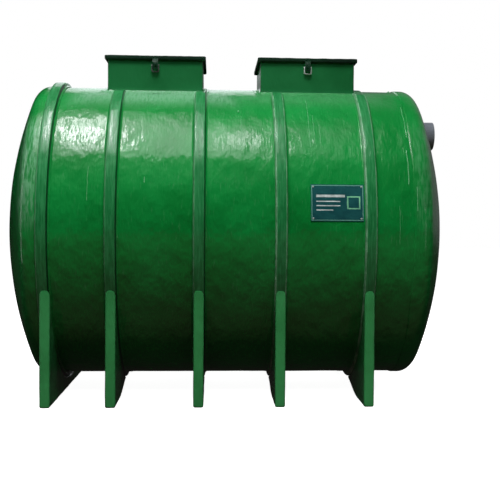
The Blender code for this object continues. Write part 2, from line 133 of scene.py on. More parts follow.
def compute(tree, operation, first, second=0.0, third=0.0, clamp=False):
    item = add_node(tree, "ShaderNodeMath", operation=operation, use_clamp=clamp)
    for place, value in enumerate((first, second, third)):
        wire(tree, value, item, place)
    return item.outputs[0]


def times(tree, first, second):
    return compute(tree, "MULTIPLY", first, second)


def ramp(tree, value, low, high, start=0.0, end=1.0):
    """Map a value from one range to another, smoothly and within its ends."""
    item = add_node(tree, "ShaderNodeMapRange", interpolation_type="SMOOTHSTEP")
    for place, given in enumerate((value, low, high, start, end)):
        wire(tree, given, item, place)
    return item.outputs[0]


def mix_colour(tree, share, first, second):
    item = add_node(tree, "ShaderNodeMix", data_type="RGBA")
    for place, given in ((0, share), (6, first), (7, second)):
        wire(tree, given, item, place)
    return item.outputs[2]


def split(tree, place):
    """The three numbers of a place."""
    item = add_node(tree, "ShaderNodeSeparateXYZ")
    wire(tree, place, item)
    return tuple(item.outputs)


print("node helpers: add_node, wire, compute, times, ramp, mix_colour, split")

# %% Surroundings
NEAR_GROUND = (0.100, 0.050, 0.045)
FAR_GROUND = (0.010, 0.008, 0.008)
ROOM_GLOW = (0.004, 0.005, 0.005)
SIDE_GLOW = (0.11, 0.10, 0.11)
WALL_GLOW = (1.25, 1.30, 1.35)
WHITE = (1.0, 1.0, 1.0)
world = bpy.data.worlds.new("studio")
world.use_nodes = True
bpy.context.scene.world = world
sky = world.node_tree
sky.nodes.clear()
ray_x, ray_y, ray_z = split(sky, add_node(sky, "ShaderNodeTexCoord").outputs["Generated"])
behind = ramp(sky, ray_y, 0.10, 0.60)
patch_tall = times(sky, ramp(sky, ray_z, 0.10, 0.20), ramp(sky, ray_z, 0.48, 0.66, 1.0, 0.0))
patch_wide = times(sky, ramp(sky, ray_x, -0.20, -0.14), ramp(sky, ray_x, 0.03, 0.11, 1.0, 0.06))
wall_patch = times(sky, behind, times(sky, patch_tall, patch_wide))
right_side = times(sky, behind, ramp(sky, ray_x, 0.12, 0.22))
room = mix_colour(sky, right_side, ROOM_GLOW, SIDE_GLOW)
room = mix_colour(sky, wall_patch, room, WALL_GLOW)
ground = mix_colour(sky, ramp(sky, ray_y, -0.35, 0.25), NEAR_GROUND, FAR_GROUND)
glow = mix_colour(sky, ramp(sky, ray_z, -0.06, 0.02), ground, room)
seen = add_node(sky, "ShaderNodeLightPath").outputs["Is Camera Ray"]
background = add_node(sky, "ShaderNodeBackground")
wire(sky, mix_colour(sky, seen, glow, WHITE), background)
wire(sky, background.outputs[0], add_node(sky, "ShaderNodeOutputWorld"))
print("surroundings made of", len(sky.nodes), "nodes, brightest", WALL_GLOW)

# %% [markdown]
# ## Lamps
# A wavy gloss draws every lamp as a patch. Wide panels overhead draw the pale band high on the
# barrel, and narrow bright strips just under them draw the white blotches in the first and the
# middle bay. Each patch is cut into panels that lie side by side, so that it can fade towards its
# edges: of two panels that overlap in one plane, a reflection shows only one. Lamps that light
# the faces without being drawn in the gloss are hidden from glossy rays.

# %% Lamps
MIRRORED_TINT = (1.0, 0.94, 1.0)
CEILING_HEIGHT, GLARE_HEIGHT = 4.6, 4.5
# Bands across a patch as (back edge, front edge, share of the glow)
LEFT_BANDS = ((0.45, 0.05, 0.35), (0.05, -0.35, 0.70), (-0.35, -2.6, 1.0))
RIGHT_BANDS = ((0.05, -0.35, 0.25), (-0.35, -0.70, 0.60), (-0.70, -2.6, 1.0))
BLOTCH_BANDS = ((0.05, -0.70, 0.45), (-0.70, -1.70, 1.0), (-1.70, -2.15, 0.5))
MIDDLE_BANDS = ((-0.85, -1.10, 0.5), (-1.10, -1.85, 1.0), (-1.85, -2.15, 0.5))
# Patches as (name, left end, height, bands, strips of (width, glow))
PATCHES = (
    ("ceiling_left", -2.4, CEILING_HEIGHT, LEFT_BANDS, ((2.1, 2.4),)),
    ("ceiling_right", -0.3, CEILING_HEIGHT, RIGHT_BANDS, ((0.7, 2.4), (0.8, 0.60))),
    ("glare_left", -1.30, GLARE_HEIGHT, BLOTCH_BANDS,
     ((0.07, 5.0), (0.07, 10.0), (0.07, 42.0), (0.07, 36.0), (0.07, 9.0))),
    ("glare_middle_1", 0.005, GLARE_HEIGHT, MIDDLE_BANDS, ((0.035, 5.0), (0.05, 15.0), (0.035, 7.0))),
    ("glare_middle_2", 0.145, GLARE_HEIGHT, MIDDLE_BANDS, ((0.035, 7.0), (0.05, 15.0), (0.035, 5.0))))
# Single lamps as (name, place, aim, size, glow, whether the gloss draws it)
LAMPS = (
    ("side_left", (-5.5, -0.3, 2.0), (-1.0, -0.3, 1.0), (0.7, 5.0), 1.6, True),
    ("side_right", (4.1, -4.4, 2.0), (1.0, -0.5, 1.0), (0.25, 5.0), 1.9, True),
    ("front_key", (0.3, -6.1, 11.9), (0.0, 0.0, 1.0), (3.6, 3.0), 23.0, False),
    ("front_fill", (0.0, -7.0, 6.4), (0.0, 0.0, 0.9), (1.5, 1.5), 16.0, False),
    ("rear_fill", (1.5, 5.0, 3.0), (0.0, 0.0, 0.9), (3.0, 2.0), 1.6, False),
    ("end_fill_left", (-6.0, 2.5, 4.0), (0.0, 0.0, 0.9), (3.0, 3.0), 2.2, False),
    ("end_fill_right", (6.0, 2.5, 4.0), (0.0, 0.0, 0.9), (3.0, 3.0), 2.2, False))


def add_panel(name, place, aim, size, glow, mirrored=True):
    """A soft rectangular lamp of an even glow at a place, facing an aim."""
    lamp = bpy.data.lights.new(name, "AREA")
    lamp.shape = "RECTANGLE"
    lamp.size, lamp.size_y = size
    lamp.energy = glow * math.pi * size[0] * size[1]
    lamp.color = MIRRORED_TINT if mirrored else WHITE
    item = put(name, lamp)
    item.visible_glossy = mirrored
    facing = (Vector(place) - Vector(aim)).to_track_quat("Z", "Y")
    item.matrix_world = Matrix.LocRotScale(Vector(place), facing, None)


def add_patch(name, x, height, bands, strips):
    """Panels side by side overhead, facing down: each strip is cut to the bands."""
    for column, (wide, strip_glow) in enumerate(strips, 1):
        for row, (back, front, share) in enumerate(bands, 1):
            place = (x + wide / 2.0, (back + front) / 2.0, height)
            add_panel(f"{name}_{column}_{row}", place, (place[0], place[1], 0.0),
                      (wide, back - front), strip_glow * share)
        x += wide


for patch in PATCHES:
    add_patch(*patch)
for lamp in LAMPS:
    add_panel(*lamp)

# %% [markdown]
# ## Floor
# The floor is a plain pale sheet that the camera alone sees. It throws no light back up, because
# the belly of the real tank is nearly black in its own shade. It glows a little less under the
# tank than far away: a painted shadow, which sets the tank on something.

# %% Floor
FLOOR_HALF = 30.0
SHADED_NEAR_GLOW, FAR_GLOW = 0.97, 1.0


def new_material(name, **sockets):
    """A material whose uniform values sit on the shader's own sockets."""
    material = bpy.data.materials.new(name)
    material.use_nodes = True
    shader = material.node_tree.nodes["Principled BSDF"]
    for label, value in sockets.items():
        wire(material.node_tree, value, shader, label.replace("_", " "))
    return material, material.node_tree, shader


def object_place(tree):
    return add_node(tree, "ShaderNodeTexCoord").outputs["Object"]


floor_mesh = bpy.data.meshes.new("floor")
floor_mesh.from_pydata([(FLOOR_HALF * x, FLOOR_HALF * y, 0.0)
                        for x, y in ((-1, -1), (1, -1), (1, 1), (-1, 1))], [], [(0, 1, 2, 3)])
floor = put("floor", floor_mesh)
floor.visible_diffuse = False
floor.visible_glossy = False
paint, paint_tree, paint_shader = new_material(
    "pale_floor", Base_Color=(0.9, 0.9, 0.9), Roughness=0.9, Specular_IOR_Level=0.0, Emission_Color=WHITE)
away = add_node(paint_tree, "ShaderNodeVectorMath", operation="LENGTH")
wire(paint_tree, object_place(paint_tree), away)
# Less glow near the tank: a painted shadow on the floor
floor_glow = ramp(paint_tree, away.outputs["Value"], 1.6, 4.0, SHADED_NEAR_GLOW, FAR_GLOW)
wire(paint_tree, floor_glow, paint_shader, "Emission Strength")
floor_mesh.materials.append(paint)
print("floor", 2.0 * FLOOR_HALF, "m square")

# %% [markdown]
# ## The laminate's look
# Cured laminate is a clear green gloss over fibres that run in bands round the tank, because the
# mats are rolled on that way. The pattern is therefore drawn in the tank's own round coordinates:
# along the axis and along the arc. Noise that is stretched in them gives the bands, and layers of
# bump give the waves and the short flecks that break up a reflection.

# %% Patterns
def noise_value(tree, place, scale, detail=2.0, rough=0.5):
    item = add_node(tree, "ShaderNodeTexNoise")
    for socket, given in (("Vector", place), ("Scale", scale), ("Detail", detail), ("Roughness", rough)):
        wire(tree, given, item, socket)
    return item.outputs["Fac"]


def stretched(tree, place, scale):
    item = add_node(tree, "ShaderNodeMapping")
    wire(tree, place, item)
    wire(tree, scale, item, "Scale")
    return item.outputs[0]


def merge(tree, x, y, z):
    """A place from three numbers."""
    item = add_node(tree, "ShaderNodeCombineXYZ")
    for socket, given in enumerate((x, y, z)):
        wire(tree, given, item, socket)
    return item.outputs[0]


def round_place(tree, place):
    """Turn a place into (along the axis, along the arc, out from the axis), in metres."""
    x, y, z = split(tree, place)
    height = compute(tree, "SUBTRACT", z, AXIS_Z)
    angle = compute(tree, "ARCTAN2", y, height)
    squares = compute(tree, "ADD", compute(tree, "POWER", y, 2.0), compute(tree, "POWER", height, 2.0))
    return merge(tree, x, times(tree, angle, RADIUS), compute(tree, "SQRT", squares))


def add_bump(tree, shader, layers, socket="Normal"):
    """Stack bump layers of (height value, distance in metres)."""
    normal = None
    for height, distance in layers:
        item = add_node(tree, "ShaderNodeBump")
        wire(tree, distance, item, "Distance")
        wire(tree, height, item, "Height")
        if normal is not None:
            wire(tree, normal, item, "Normal")
        normal = item.outputs[0]
    wire(tree, normal, shader, socket)


print("pattern helpers: noise_value, stretched, round_place, add_bump")

# %% [markdown]
# ### Starved glass and painted glints
# Where a mat took up too little resin, the glass shows through pale. On this tank that is on the
# skirts of the ends, most on the left one, and on the mats laid round the necks. Round the necks the
# pale is partly a painted highlight, for glints on the tabbing. The shader finds these places from
# their distance to the ends and the necks, so no image has to be painted.

# %% Where the glass shows pale, and where glints are painted
# Places along the axis where a skirt's pale band starts and is full
SKIRT_START, SKIRT_FULL = 0.93, 0.97
RIGHT_SKIRT_SHARE = 0.35
# Pale share round each neck: starved glass, and partly a painted highlight for glints on the tabbing
NECK_MATS_AND_GLINTS = {"left": 1.0, "right": 0.30}


def apart(tree, value, middle=0.0):
    """How far a value is from a middle."""
    return compute(tree, "ABSOLUTE", compute(tree, "SUBTRACT", value, middle))


def neck_distance(tree, x, y, neck_x):
    """How far a place is beyond a neck's square footprint, seen from above."""
    across, away = (compute(tree, "SUBTRACT", apart(tree, value, middle), NECK_HALF)
                    for value, middle in ((x, neck_x), (y, 0.0)))
    return compute(tree, "MAXIMUM", across, away)


def pale_glass_and_glint_share(tree, place, streaks, dish):
    x, y, z = split(tree, place)
    left = ramp(tree, x, -SKIRT_FULL, -SKIRT_START, 1.0, 0.0)
    right = ramp(tree, x, SKIRT_START, SKIRT_FULL, 0.0, RIGHT_SKIRT_SHARE)
    skirt = compute(tree, "SUBTRACT", compute(tree, "ADD", left, right), dish, clamp=True)
    middle = times(tree, ramp(tree, z, 0.82, 1.02), ramp(tree, z, 1.38, 1.50, 1.0, 0.0))
    share = times(tree, skirt, times(tree, middle, ramp(tree, streaks, 0.38, 0.60, 0.10, 0.75)))
    for side, strength in NECK_MATS_AND_GLINTS.items():
        near = ramp(tree, neck_distance(tree, x, y, NECKS[side]), 0.070, 0.240, strength, 0.0)
        near = times(tree, near, ramp(tree, z, AXIS_Z + 0.30, AXIS_Z + 0.40))
        mat_and_glint = times(tree, near, ramp(tree, streaks, 0.30, 0.58, 0.50, 1.0))
        share = compute(tree, "MAXIMUM", share, mat_and_glint)
    return share


print("pale mats round the necks:", NECK_MATS_AND_GLINTS, "and from", SKIRT_START, "m along the axis")

# %% [markdown]
# ### Four laminates
# The shell, the necks, the foot plates and the lids are laid up alike and differ in their greens,
# in how wavy they are and in how thick the clear coat is. One function builds all four. Flat
# pieces read plain object coordinates, and round ones the coordinates above.

# %% Laminates
# Greens as (deep, middle, pale)
SHELL_GREENS = ((0.002, 0.205, 0.030), (0.004, 0.265, 0.044), (0.150, 0.400, 0.210))
NECK_GREENS = ((0.009, 0.130, 0.035), (0.014, 0.165, 0.048), (0.024, 0.200, 0.070))
FOOT_GREENS = ((0.034, 0.305, 0.082), (0.048, 0.375, 0.108), (0.080, 0.420, 0.150))
LID_GREENS = ((0.003, 0.016, 0.008), (0.006, 0.030, 0.014), (0.016, 0.060, 0.028))


def laid_noise(tree, flow, place, dish, banded, even, detail, rough):
    """Noise drawn out along the mats, and even in all directions on a dish, where mats cross."""
    bands = noise_value(tree, stretched(tree, flow, banded), 1.0, detail, rough)
    if dish is None:
        return bands
    crossed = noise_value(tree, place, even, detail, rough)
    return compute(tree, "ADD", bands, times(tree, compute(tree, "SUBTRACT", crossed, bands), dish))


def laminate(name, greens, wave, fleck, round_fibres=True, roughness=0.34, coat=0.80, gloss=0.09):
    """A green laminate with waves and flecks of the given heights in metres."""
    material, tree, shader = new_material(name, Coat_Weight=coat, Coat_Roughness=gloss,
                                          Specular_IOR_Level=0.25)
    place = object_place(tree)
    patches = noise_value(tree, place, 3.2, 3.0)
    flow, dish = place, None
    if round_fibres:
        flow = round_place(tree, place)
        dish = ramp(tree, split(tree, flow)[2], 0.68, 0.775, 1.0, 0.0)
    streaks = laid_noise(tree, flow, place, dish, (105.0, 16.0, 16.0), 42.0, 3.0, 0.6)
    fibres = laid_noise(tree, flow, place, dish, (260.0, 60.0, 60.0), 130.0, 2.0, 0.5)
    waves = laid_noise(tree, flow, place, dish, (17.0, 11.0, 11.0), 12.0, 2.0, 0.5)
    deep, middle, pale = greens
    colour = mix_colour(tree, ramp(tree, patches, 0.32, 0.68), deep, middle)
    share = ramp(tree, streaks, 0.58, 0.82, 0.0, 0.24)
    if round_fibres:
        share = compute(tree, "MAXIMUM", share, pale_glass_and_glint_share(tree, place, streaks, dish))
    wire(tree, mix_colour(tree, share, colour, pale), shader, "Base Color")
    wire(tree, ramp(tree, fibres, 0.3, 0.7, roughness, roughness + 0.12), shader, "Roughness")
    for socket, shares in (("Normal", (1.0, 1.0, 0.25)), ("Coat Normal", (0.36, 0.33, 0.06))):
        heights = (wave * shares[0], fleck * shares[1], fleck * shares[2])
        add_bump(tree, shader, tuple(zip((waves, streaks, fibres), heights)), socket)
    return material


shell_laminate = laminate("green_laminate", SHELL_GREENS, 0.010, 0.0016)
neck_laminate = laminate("neck_laminate", NECK_GREENS, 0.004, 0.0005, False, coat=0.5)
foot_laminate = laminate("pale_green_laminate", FOOT_GREENS, 0.006, 0.0012, False)
lid_laminate = laminate("dark_green_laminate", LID_GREENS, 0.005, 0.0010, False,
                        roughness=0.50, coat=0.15, gloss=0.2)
print("laminates:", [m.name for m in (shell_laminate, neck_laminate, foot_laminate, lid_laminate)])

# %% [markdown]
# ## Shared mesh tools
# Most pieces are skins between rings of points, closed both ways like a tyre, or closed at a
# pole. One function joins the rings. Another lays a soft ripple over a finished skin, because no
# hand-laid face is flat, and a third makes the object, smooth except where an edge is sharp.

# %% Mesh tools
def join_rings(rings, closed=True):
    """Skin a list of rings, each a closed loop of points; a ring of one point is a pole."""
    skin = bmesh.new()
    rows = [[skin.verts.new(point) for point in ring] for ring in rings]
    pairs = list(zip(rows, rows[1:]))
    if closed:
        pairs.append((rows[-1], rows[0]))
    for near, far in pairs:
        if len(near) == 1 and len(far) == 1:
            continue
        for k in range(max(len(near), len(far))):
            corners = [near[(k - 1) % len(near)], near[k % len(near)],
                       far[k % len(far)], far[(k - 1) % len(far)]]
            skin.faces.new(list(dict.fromkeys(corners)))
    return skin


def soft_wave(place, across, seed):
    """Two octaves of smooth noise, about one wave in each stretch of the given length."""
    point = Vector((place[0], place[1], place[2])) / across + Vector((seed * 7.3, seed * 3.1, 0.0))
    return noise.noise(point) + 0.4 * noise.noise(point * 2.3)


def ripple(skin, height, across, seed):
    """Move each point along its normal by a soft wave."""
    skin.normal_update()
    moves = [(vert, vert.normal * (height * soft_wave(vert.co, across, seed))) for vert in skin.verts]
    for vert, move in moves:
        vert.co += move


def finish_mesh(skin, mesh, sharp=35.0):
    """Write a skin to a mesh with its faces outwards, smooth except where an edge is sharp."""
    bmesh.ops.recalc_face_normals(skin, faces=skin.faces)
    skin.to_mesh(mesh)
    skin.free()
    mesh.shade_smooth()
    mesh.set_sharp_from_angle(angle=math.radians(sharp))


def make_piece(name, skin, material, sharp=35.0):
    mesh = bpy.data.meshes.new(name)
    mesh.materials.append(material)
    finish_mesh(skin, mesh, sharp)
    return put(name, mesh)


print("mesh tools: join_rings, ripple, make_piece")

# %% [markdown]
# ### Dressing a piece
# A finished piece is hung on the body that carries it, so that it moves with the right lid, and
# the imported nodes that it stands for are hidden. One function does both, so that no piece can
# forget one.

# %% Dress a piece
def dress(piece, body, material_slot, *nodes):
    """Say which body carries a piece and which nodes it stands for; the finish's slot name is not used."""
    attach(piece, body)
    if nodes:
        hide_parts(*nodes)
    print(piece.name, "faces", len(piece.data.polygons), "for", ", ".join(nodes) or "no node")


print("bodies:", sorted({"tank", *(f"{side}_cover" for side in SIDES)}))

# %% [markdown]
# ## Barrel
# The barrel is one shell, 10 mm thick, with two square openings under the necks. The grid's lines
# are placed so that some run exactly along the openings' edges. The cells inside are left out,
# and a strip closes the wall between the outer and the inner skin wherever a cell has no
# neighbour. Cutting the holes with a Boolean would leave ragged shading round them.

# %% Barrel
def stations(low, high, step, stops):
    """Places from low to high, about a step apart, that hit each stop."""
    marks = [low, *sorted(stops), high]
    places = [low]
    for near, far in zip(marks, marks[1:]):
        count = max(1, round((far - near) / step))
        places += [near + (far - near) * k / count for k in range(1, count + 1)]
    return places


NECK_WALL = 0.008
CELL_LENGTH, CELL_TURN = 0.016, math.pi / 128.0
HOLE_HALF = NECK_HALF - NECK_WALL
HOLE_ANGLE = math.asin(HOLE_HALF / RADIUS)
hole_edges = [x + s * HOLE_HALF for x in NECKS.values() for s in (-1.0, 1.0)]
along = stations(-HALF_LENGTH, HALF_LENGTH, CELL_LENGTH, hole_edges)
around = stations(0.0, 2.0 * math.pi, CELL_TURN,
                  (math.pi / 2.0 - HOLE_ANGLE, math.pi / 2.0 + HOLE_ANGLE))[:-1]


def cell_open(i, j):
    """Whether a cell of the barrel's grid lies in a manhole."""
    x = (along[i] + along[i + 1]) / 2.0
    last = around[j + 1] if j + 1 < len(around) else 2.0 * math.pi
    turned = (around[j] + last) / 2.0 - math.pi / 2.0
    return abs(turned) < HOLE_ANGLE and any(abs(x - neck) < HOLE_HALF for neck in NECKS.values())


def build_barrel():
    skin = bmesh.new()
    layers = [[[skin.verts.new((x, radius * math.cos(a), AXIS_Z + radius * math.sin(a)))
                for a in around] for x in along] for radius in (RADIUS, RADIUS - WALL)]
    count = len(around)
    kept = {(i, j) for i in range(len(along) - 1) for j in range(count) if not cell_open(i, j)}
    for i, j in kept:
        corners = ((i, j), (i + 1, j), (i + 1, (j + 1) % count), (i, (j + 1) % count))
        for layer in layers:
            skin.faces.new([layer[a][b] for a, b in corners])
        beside = ((i, (j - 1) % count), (i + 1, j), (i, (j + 1) % count), (i - 1, j))
        for side, cell in enumerate(beside):
            if cell not in kept:
                (a, b), (c, d) = corners[side], corners[(side + 1) % 4]
                skin.faces.new((layers[0][a][b], layers[0][c][d], layers[1][c][d], layers[1][a][b]))
    for vert in [v for v in skin.verts if not v.link_faces]:
        skin.verts.remove(vert)
    ripple(skin, 0.0012, 0.22, 1.0)
    return make_piece("barrel", skin, shell_laminate)


dress(build_barrel(), "tank", "laminate", "barrel_top", "barrel_front", "barrel_bottom", "barrel_back")

# %% [markdown]
# ## Dished ends
# Each end is laid up on a turned mould: a short skirt laps over the barrel, a tight knuckle turns
# inwards, and a shallow dish closes the end. The profile is turned round the axis in fine steps.
# The skirt's edge wanders a few millimetres, as wet laminate does when it is rolled down by hand.

# %% Dished ends
KNUCKLE_RADIUS = 0.072
SKIRT_WALL = 0.005
SKIRT_LAP = 0.038
KNUCKLE_LINE = RADIUS + SKIRT_WALL - KNUCKLE_RADIUS
CROWN_RADIUS = ((END_DEPTH ** 2 + KNUCKLE_LINE ** 2 - KNUCKLE_RADIUS ** 2)
                / (2.0 * (END_DEPTH - KNUCKLE_RADIUS)))
KNUCKLE_TURN = math.asin(KNUCKLE_LINE / (CROWN_RADIUS - KNUCKLE_RADIUS))
END_TURNS = 192
# How many of the profile's first rings lie on the skirt's edge and wander with it
LIP_RINGS = 4


def turned_ring(x, radius, count, centre_z=None):
    """A ring of points about the tank's axis, or about a line at another height."""
    centre = AXIS_Z if centre_z is None else centre_z
    if radius == 0.0:
        return [(x, 0.0, centre)]
    return [(x, radius * math.cos(2.0 * math.pi * k / count),
             centre + radius * math.sin(2.0 * math.pi * k / count)) for k in range(count)]


def end_profile(offset, crown_steps=26, knuckle_steps=10):
    """Points (out from the barrel's edge, radius) from the skirt to the pole, moved inwards."""
    points = []
    for k in range(knuckle_steps):
        angle = math.pi / 2.0 + (KNUCKLE_TURN - math.pi / 2.0) * k / knuckle_steps
        bend = KNUCKLE_RADIUS - offset
        points.append((bend * math.cos(angle), KNUCKLE_LINE + bend * math.sin(angle)))
    for k in range(crown_steps):
        angle = KNUCKLE_TURN * (1.0 - k / crown_steps)
        bend = CROWN_RADIUS - offset
        points.append((END_DEPTH - CROWN_RADIUS + bend * math.cos(angle), bend * math.sin(angle)))
    return points + [(END_DEPTH - offset, 0.0)]


def build_end(name, hand, seed):
    outer, inner = end_profile(0.0), end_profile(WALL)
    inner[0] = (GAP, inner[0][1])
    lip = [(-SKIRT_LAP, RADIUS + GAP), (-SKIRT_LAP, RADIUS + 0.0022),
           (-SKIRT_LAP + 0.003, RADIUS + 0.0042), (-SKIRT_LAP + 0.008, RADIUS + SKIRT_WALL),
           (-SKIRT_LAP / 2.0, RADIUS + SKIRT_WALL)]
    profile = lip + outer + inner[::-1] + [(GAP, RADIUS + GAP)]
    rings = [turned_ring(hand * (HALF_LENGTH + x), radius, END_TURNS) for x, radius in profile]
    skin = join_rings(rings)
    skin.verts.ensure_lookup_table()
    for vert in list(skin.verts)[:LIP_RINGS * END_TURNS]:
        wander = 0.004 * soft_wave(vert.co, 0.16, seed) + 0.0015 * soft_wave(vert.co, 0.035, seed)
        vert.co.x -= hand * wander
    ripple(skin, 0.0013, 0.30, seed)
    return make_piece(name, skin, shell_laminate)


dress(build_end("left_end", -1.0, 2.0), "tank", "laminate", "left_end_rim", "left_end_dish")
right_end = build_end("right_end", 1.0, 3.0)

# %% [markdown]
# The outlet pipe passes through the right-hand end, so that end needs a round hole. A Boolean
# with a many-sided cylinder cuts it, and the cutter is thrown away once the cut is in the mesh.

# %% Hole for the outlet pipe
pipe_low, pipe_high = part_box("outlet_pipe")
PIPE_Z = (pipe_low.z + pipe_high.z) / 2.0
PIPE_RADIUS = (pipe_high.z - pipe_low.z) / 2.0
PIPE_TURNS = 96
# How far the cutter goes on past the pipe's open end
CUT_BEYOND = 0.2


def apply_boolean(piece, cutter):
    """Take a cutter's room out of a piece, and drop the cutter."""
    change = piece.modifiers.new("cut", "BOOLEAN")
    change.operation = "DIFFERENCE"
    change.solver = "EXACT"
    change.object = cutter
    settle(piece)
    bpy.data.objects.remove(cutter, do_unlink=True)


def settle(piece):
    """Turn a piece's modifiers into plain mesh."""
    view = bpy.context.evaluated_depsgraph_get()
    mesh = bpy.data.meshes.new_from_object(piece.evaluated_get(view), depsgraph=view)
    old = piece.data
    piece.modifiers.clear()
    piece.data = mesh
    mesh.name = piece.name
    bpy.data.meshes.remove(old)


def rod_cutter(low_x, high_x, radius, centre_z, count):
    """A many-sided cylinder along the axis, to cut with."""
    rings = [[(low_x, 0.0, centre_z)], turned_ring(low_x, radius, count, centre_z),
             turned_ring(high_x, radius, count, centre_z), [(high_x, 0.0, centre_z)]]
    return make_piece("cutter", join_rings(rings, False), shell_laminate)


apply_boolean(right_end, rod_cutter(pipe_low.x, pipe_high.x + CUT_BEYOND, PIPE_RADIUS + GAP,
                                    PIPE_Z, PIPE_TURNS))
dress(right_end, "tank", "laminate", "right_end_rim", "right_end_dish")

# %% [markdown]
# ## Hoops
# Five ribs stiffen the barrel. Each is one cross-section swept round a circle, so Geometry Nodes
# suit them: a Curve Circle gives the path, the section is swept along it, and Set Position adds
# the hand-laid wobble from a noise of fixed seed. The section has a flat crest with rolled edges,
# steep sides, and a narrow strip of laminate that fades out on the barrel beside each side.

# %% Hoop sections
HOOP_REACH = 0.040
SINK, TUCK = 0.004, 0.002
STRIP_HEIGHT = 0.010
WOBBLE, WOBBLE_LENGTH = 0.0012, 0.16
HOOP_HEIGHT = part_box("hoop_3")[1].y - RADIUS
# Half of the section, from the crest's middle outwards, as (across, height)
FLANK = [(0.0, HOOP_HEIGHT), (0.012, HOOP_HEIGHT), (0.0215, HOOP_HEIGHT - 0.0003),
         (0.0245, HOOP_HEIGHT - 0.0012), (0.0265, HOOP_HEIGHT - 0.0032), (0.0280, HOOP_HEIGHT - 0.0070),
         (0.0292, HOOP_HEIGHT - 0.0120), (0.0303, 0.0105), (0.0318, 0.0066), (0.0332, 0.0042),
         (0.0352, 0.0029), (0.0370, 0.0021), (0.0388, 0.0012), (HOOP_REACH, -0.0008)]


def hoop_section(number):
    """A hoop's closed section as (across, height over the barrel) points."""
    top = [(-x, h) for x, h in FLANK[::-1]] + FLANK[1:]
    if number == 1:
        # The first hoop's left strip lies on the end's skirt
        top = [(x, h + SKIRT_WALL) if x < 0.0 and h < STRIP_HEIGHT else (x, h) for x, h in top]
    return top + [(HOOP_REACH - TUCK, -SINK), (TUCK - HOOP_REACH, -SINK)]


print("hoop height", round(HOOP_HEIGHT, 4), "and half width", HOOP_REACH)

# %% [markdown]
# ### Tools for trees
# Three trees are built here: for hoops, for resin runs and for screw heads. All of them have named
# inputs and end alike, with real points instead of instances and with a finish, because an export
# drops instances. Running a tree on an empty object and keeping the result leaves a plain mesh.

# %% Tree tools
def new_tree(name, inputs):
    """A geometry tree, its inputs' identifiers by label, and the inputs themselves."""
    tree = bpy.data.node_groups.new(name, "GeometryNodeTree")
    sockets = {}
    for label, kind in {"Geometry": "Geometry", **inputs}.items():
        made = tree.interface.new_socket(label, in_out="INPUT", socket_type="NodeSocket" + kind)
        sockets[label] = made.identifier
    tree.interface.new_socket("Geometry", in_out="OUTPUT", socket_type="NodeSocketGeometry")
    return tree, sockets, add_node(tree, "NodeGroupInput").outputs


def feed(tree, kind, sources, out=0, **settings):
    """Add a node, feed its inputs by name or number, and give one of its outputs."""
    item = add_node(tree, kind, **settings)
    for socket, source in sources.items():
        wire(tree, source, item, socket)
    return item.outputs[out]


def end_tree(tree, geometry, given):
    """Turn instances into real points, set the finish and give the result out."""
    whole = feed(tree, "GeometryNodeRealizeInstances", {0: geometry})
    finished = feed(tree, "GeometryNodeSetMaterial", {0: whole, "Material": given["Finish"]})
    wire(tree, finished, add_node(tree, "NodeGroupOutput"))


def grow(name, tree, sockets, values):
    """Run a tree on an empty object, keep the result as a plain mesh and drop the modifier."""
    piece = put(name, bpy.data.meshes.new(name))
    change = piece.modifiers.new("tree", "NODES")
    change.node_group = tree
    for label, value in values.items():
        change[sockets[label]] = value
    settle(piece)
    skin = bmesh.new()
    skin.from_mesh(piece.data)
    finish_mesh(skin, piece.data)
    return piece


print("tree tools: new_tree, feed, end_tree, grow")

# %% [markdown]
# ### The hoops' tree
# The tree takes the section as an object, so one tree serves all five hoops. Its inputs are the
# barrel's radius and axis height, the hoop's place, the wobble's height and length, and a seed. The
# wobble pushes each point straight out from the axis, because a roller follows the barrel.

# %% Hoop tree
HOOP_TURNS = 288


def hoop_tree():
    tree, sockets, given = new_tree("sweep_hoop", {
        "Section": "Object", "Radius": "Float", "Axis Height": "Float", "Place": "Float",
        "Wobble": "Float", "Wobble Length": "Float", "Seed": "Int", "Finish": "Material"})
    section = feed(tree, "GeometryNodeObjectInfo", {"Object": given["Section"]}, "Geometry")
    outline = feed(tree, "GeometryNodeMeshToCurve", {0: section})
    path = feed(tree, "GeometryNodeCurvePrimitiveCircle",
                {"Resolution": HOOP_TURNS, "Radius": given["Radius"]})
    hoop = feed(tree, "GeometryNodeCurveToMesh", {"Curve": path, "Profile Curve": outline})
    spot = merge(tree, given["Place"], 0.0, given["Axis Height"])
    hoop = feed(tree, "GeometryNodeTransform",
                {0: hoop, "Translation": spot, "Rotation": (0.0, math.pi / 2.0, 0.0)})
    point = add_node(tree, "GeometryNodeInputPosition").outputs[0]
    fineness = compute(tree, "DIVIDE", 1.0, given["Wobble Length"])
    wobble = feed(tree, "ShaderNodeTexNoise", {"Vector": point, "W": given["Seed"], "Scale": fineness},
                  noise_dimensions="4D", normalize=False)
    _, y, z = split(tree, point)
    spoke = merge(tree, 0.0, y, compute(tree, "SUBTRACT", z, given["Axis Height"]))
    outward = feed(tree, "ShaderNodeVectorMath", {0: spoke}, operation="NORMALIZE")
    push = feed(tree, "ShaderNodeVectorMath",
                {0: outward, "Scale": times(tree, wobble, given["Wobble"])}, operation="SCALE")
    end_tree(tree, feed(tree, "GeometryNodeSetPosition", {0: hoop, "Offset": push}), given)
    return tree, sockets


def section_object(points):
    """A closed outline of edges, with its height along x and its width along y."""
    mesh = bpy.data.meshes.new("section")
    count = len(points)
    edges = [(k, (k + 1) % count) for k in range(count)]
    mesh.from_pydata([(h, x, 0.0) for x, h in points], edges, [])
    return put("section", mesh)


sweep_hoop, hoop_sockets = hoop_tree()
print("hoop tree inputs:", list(hoop_sockets))

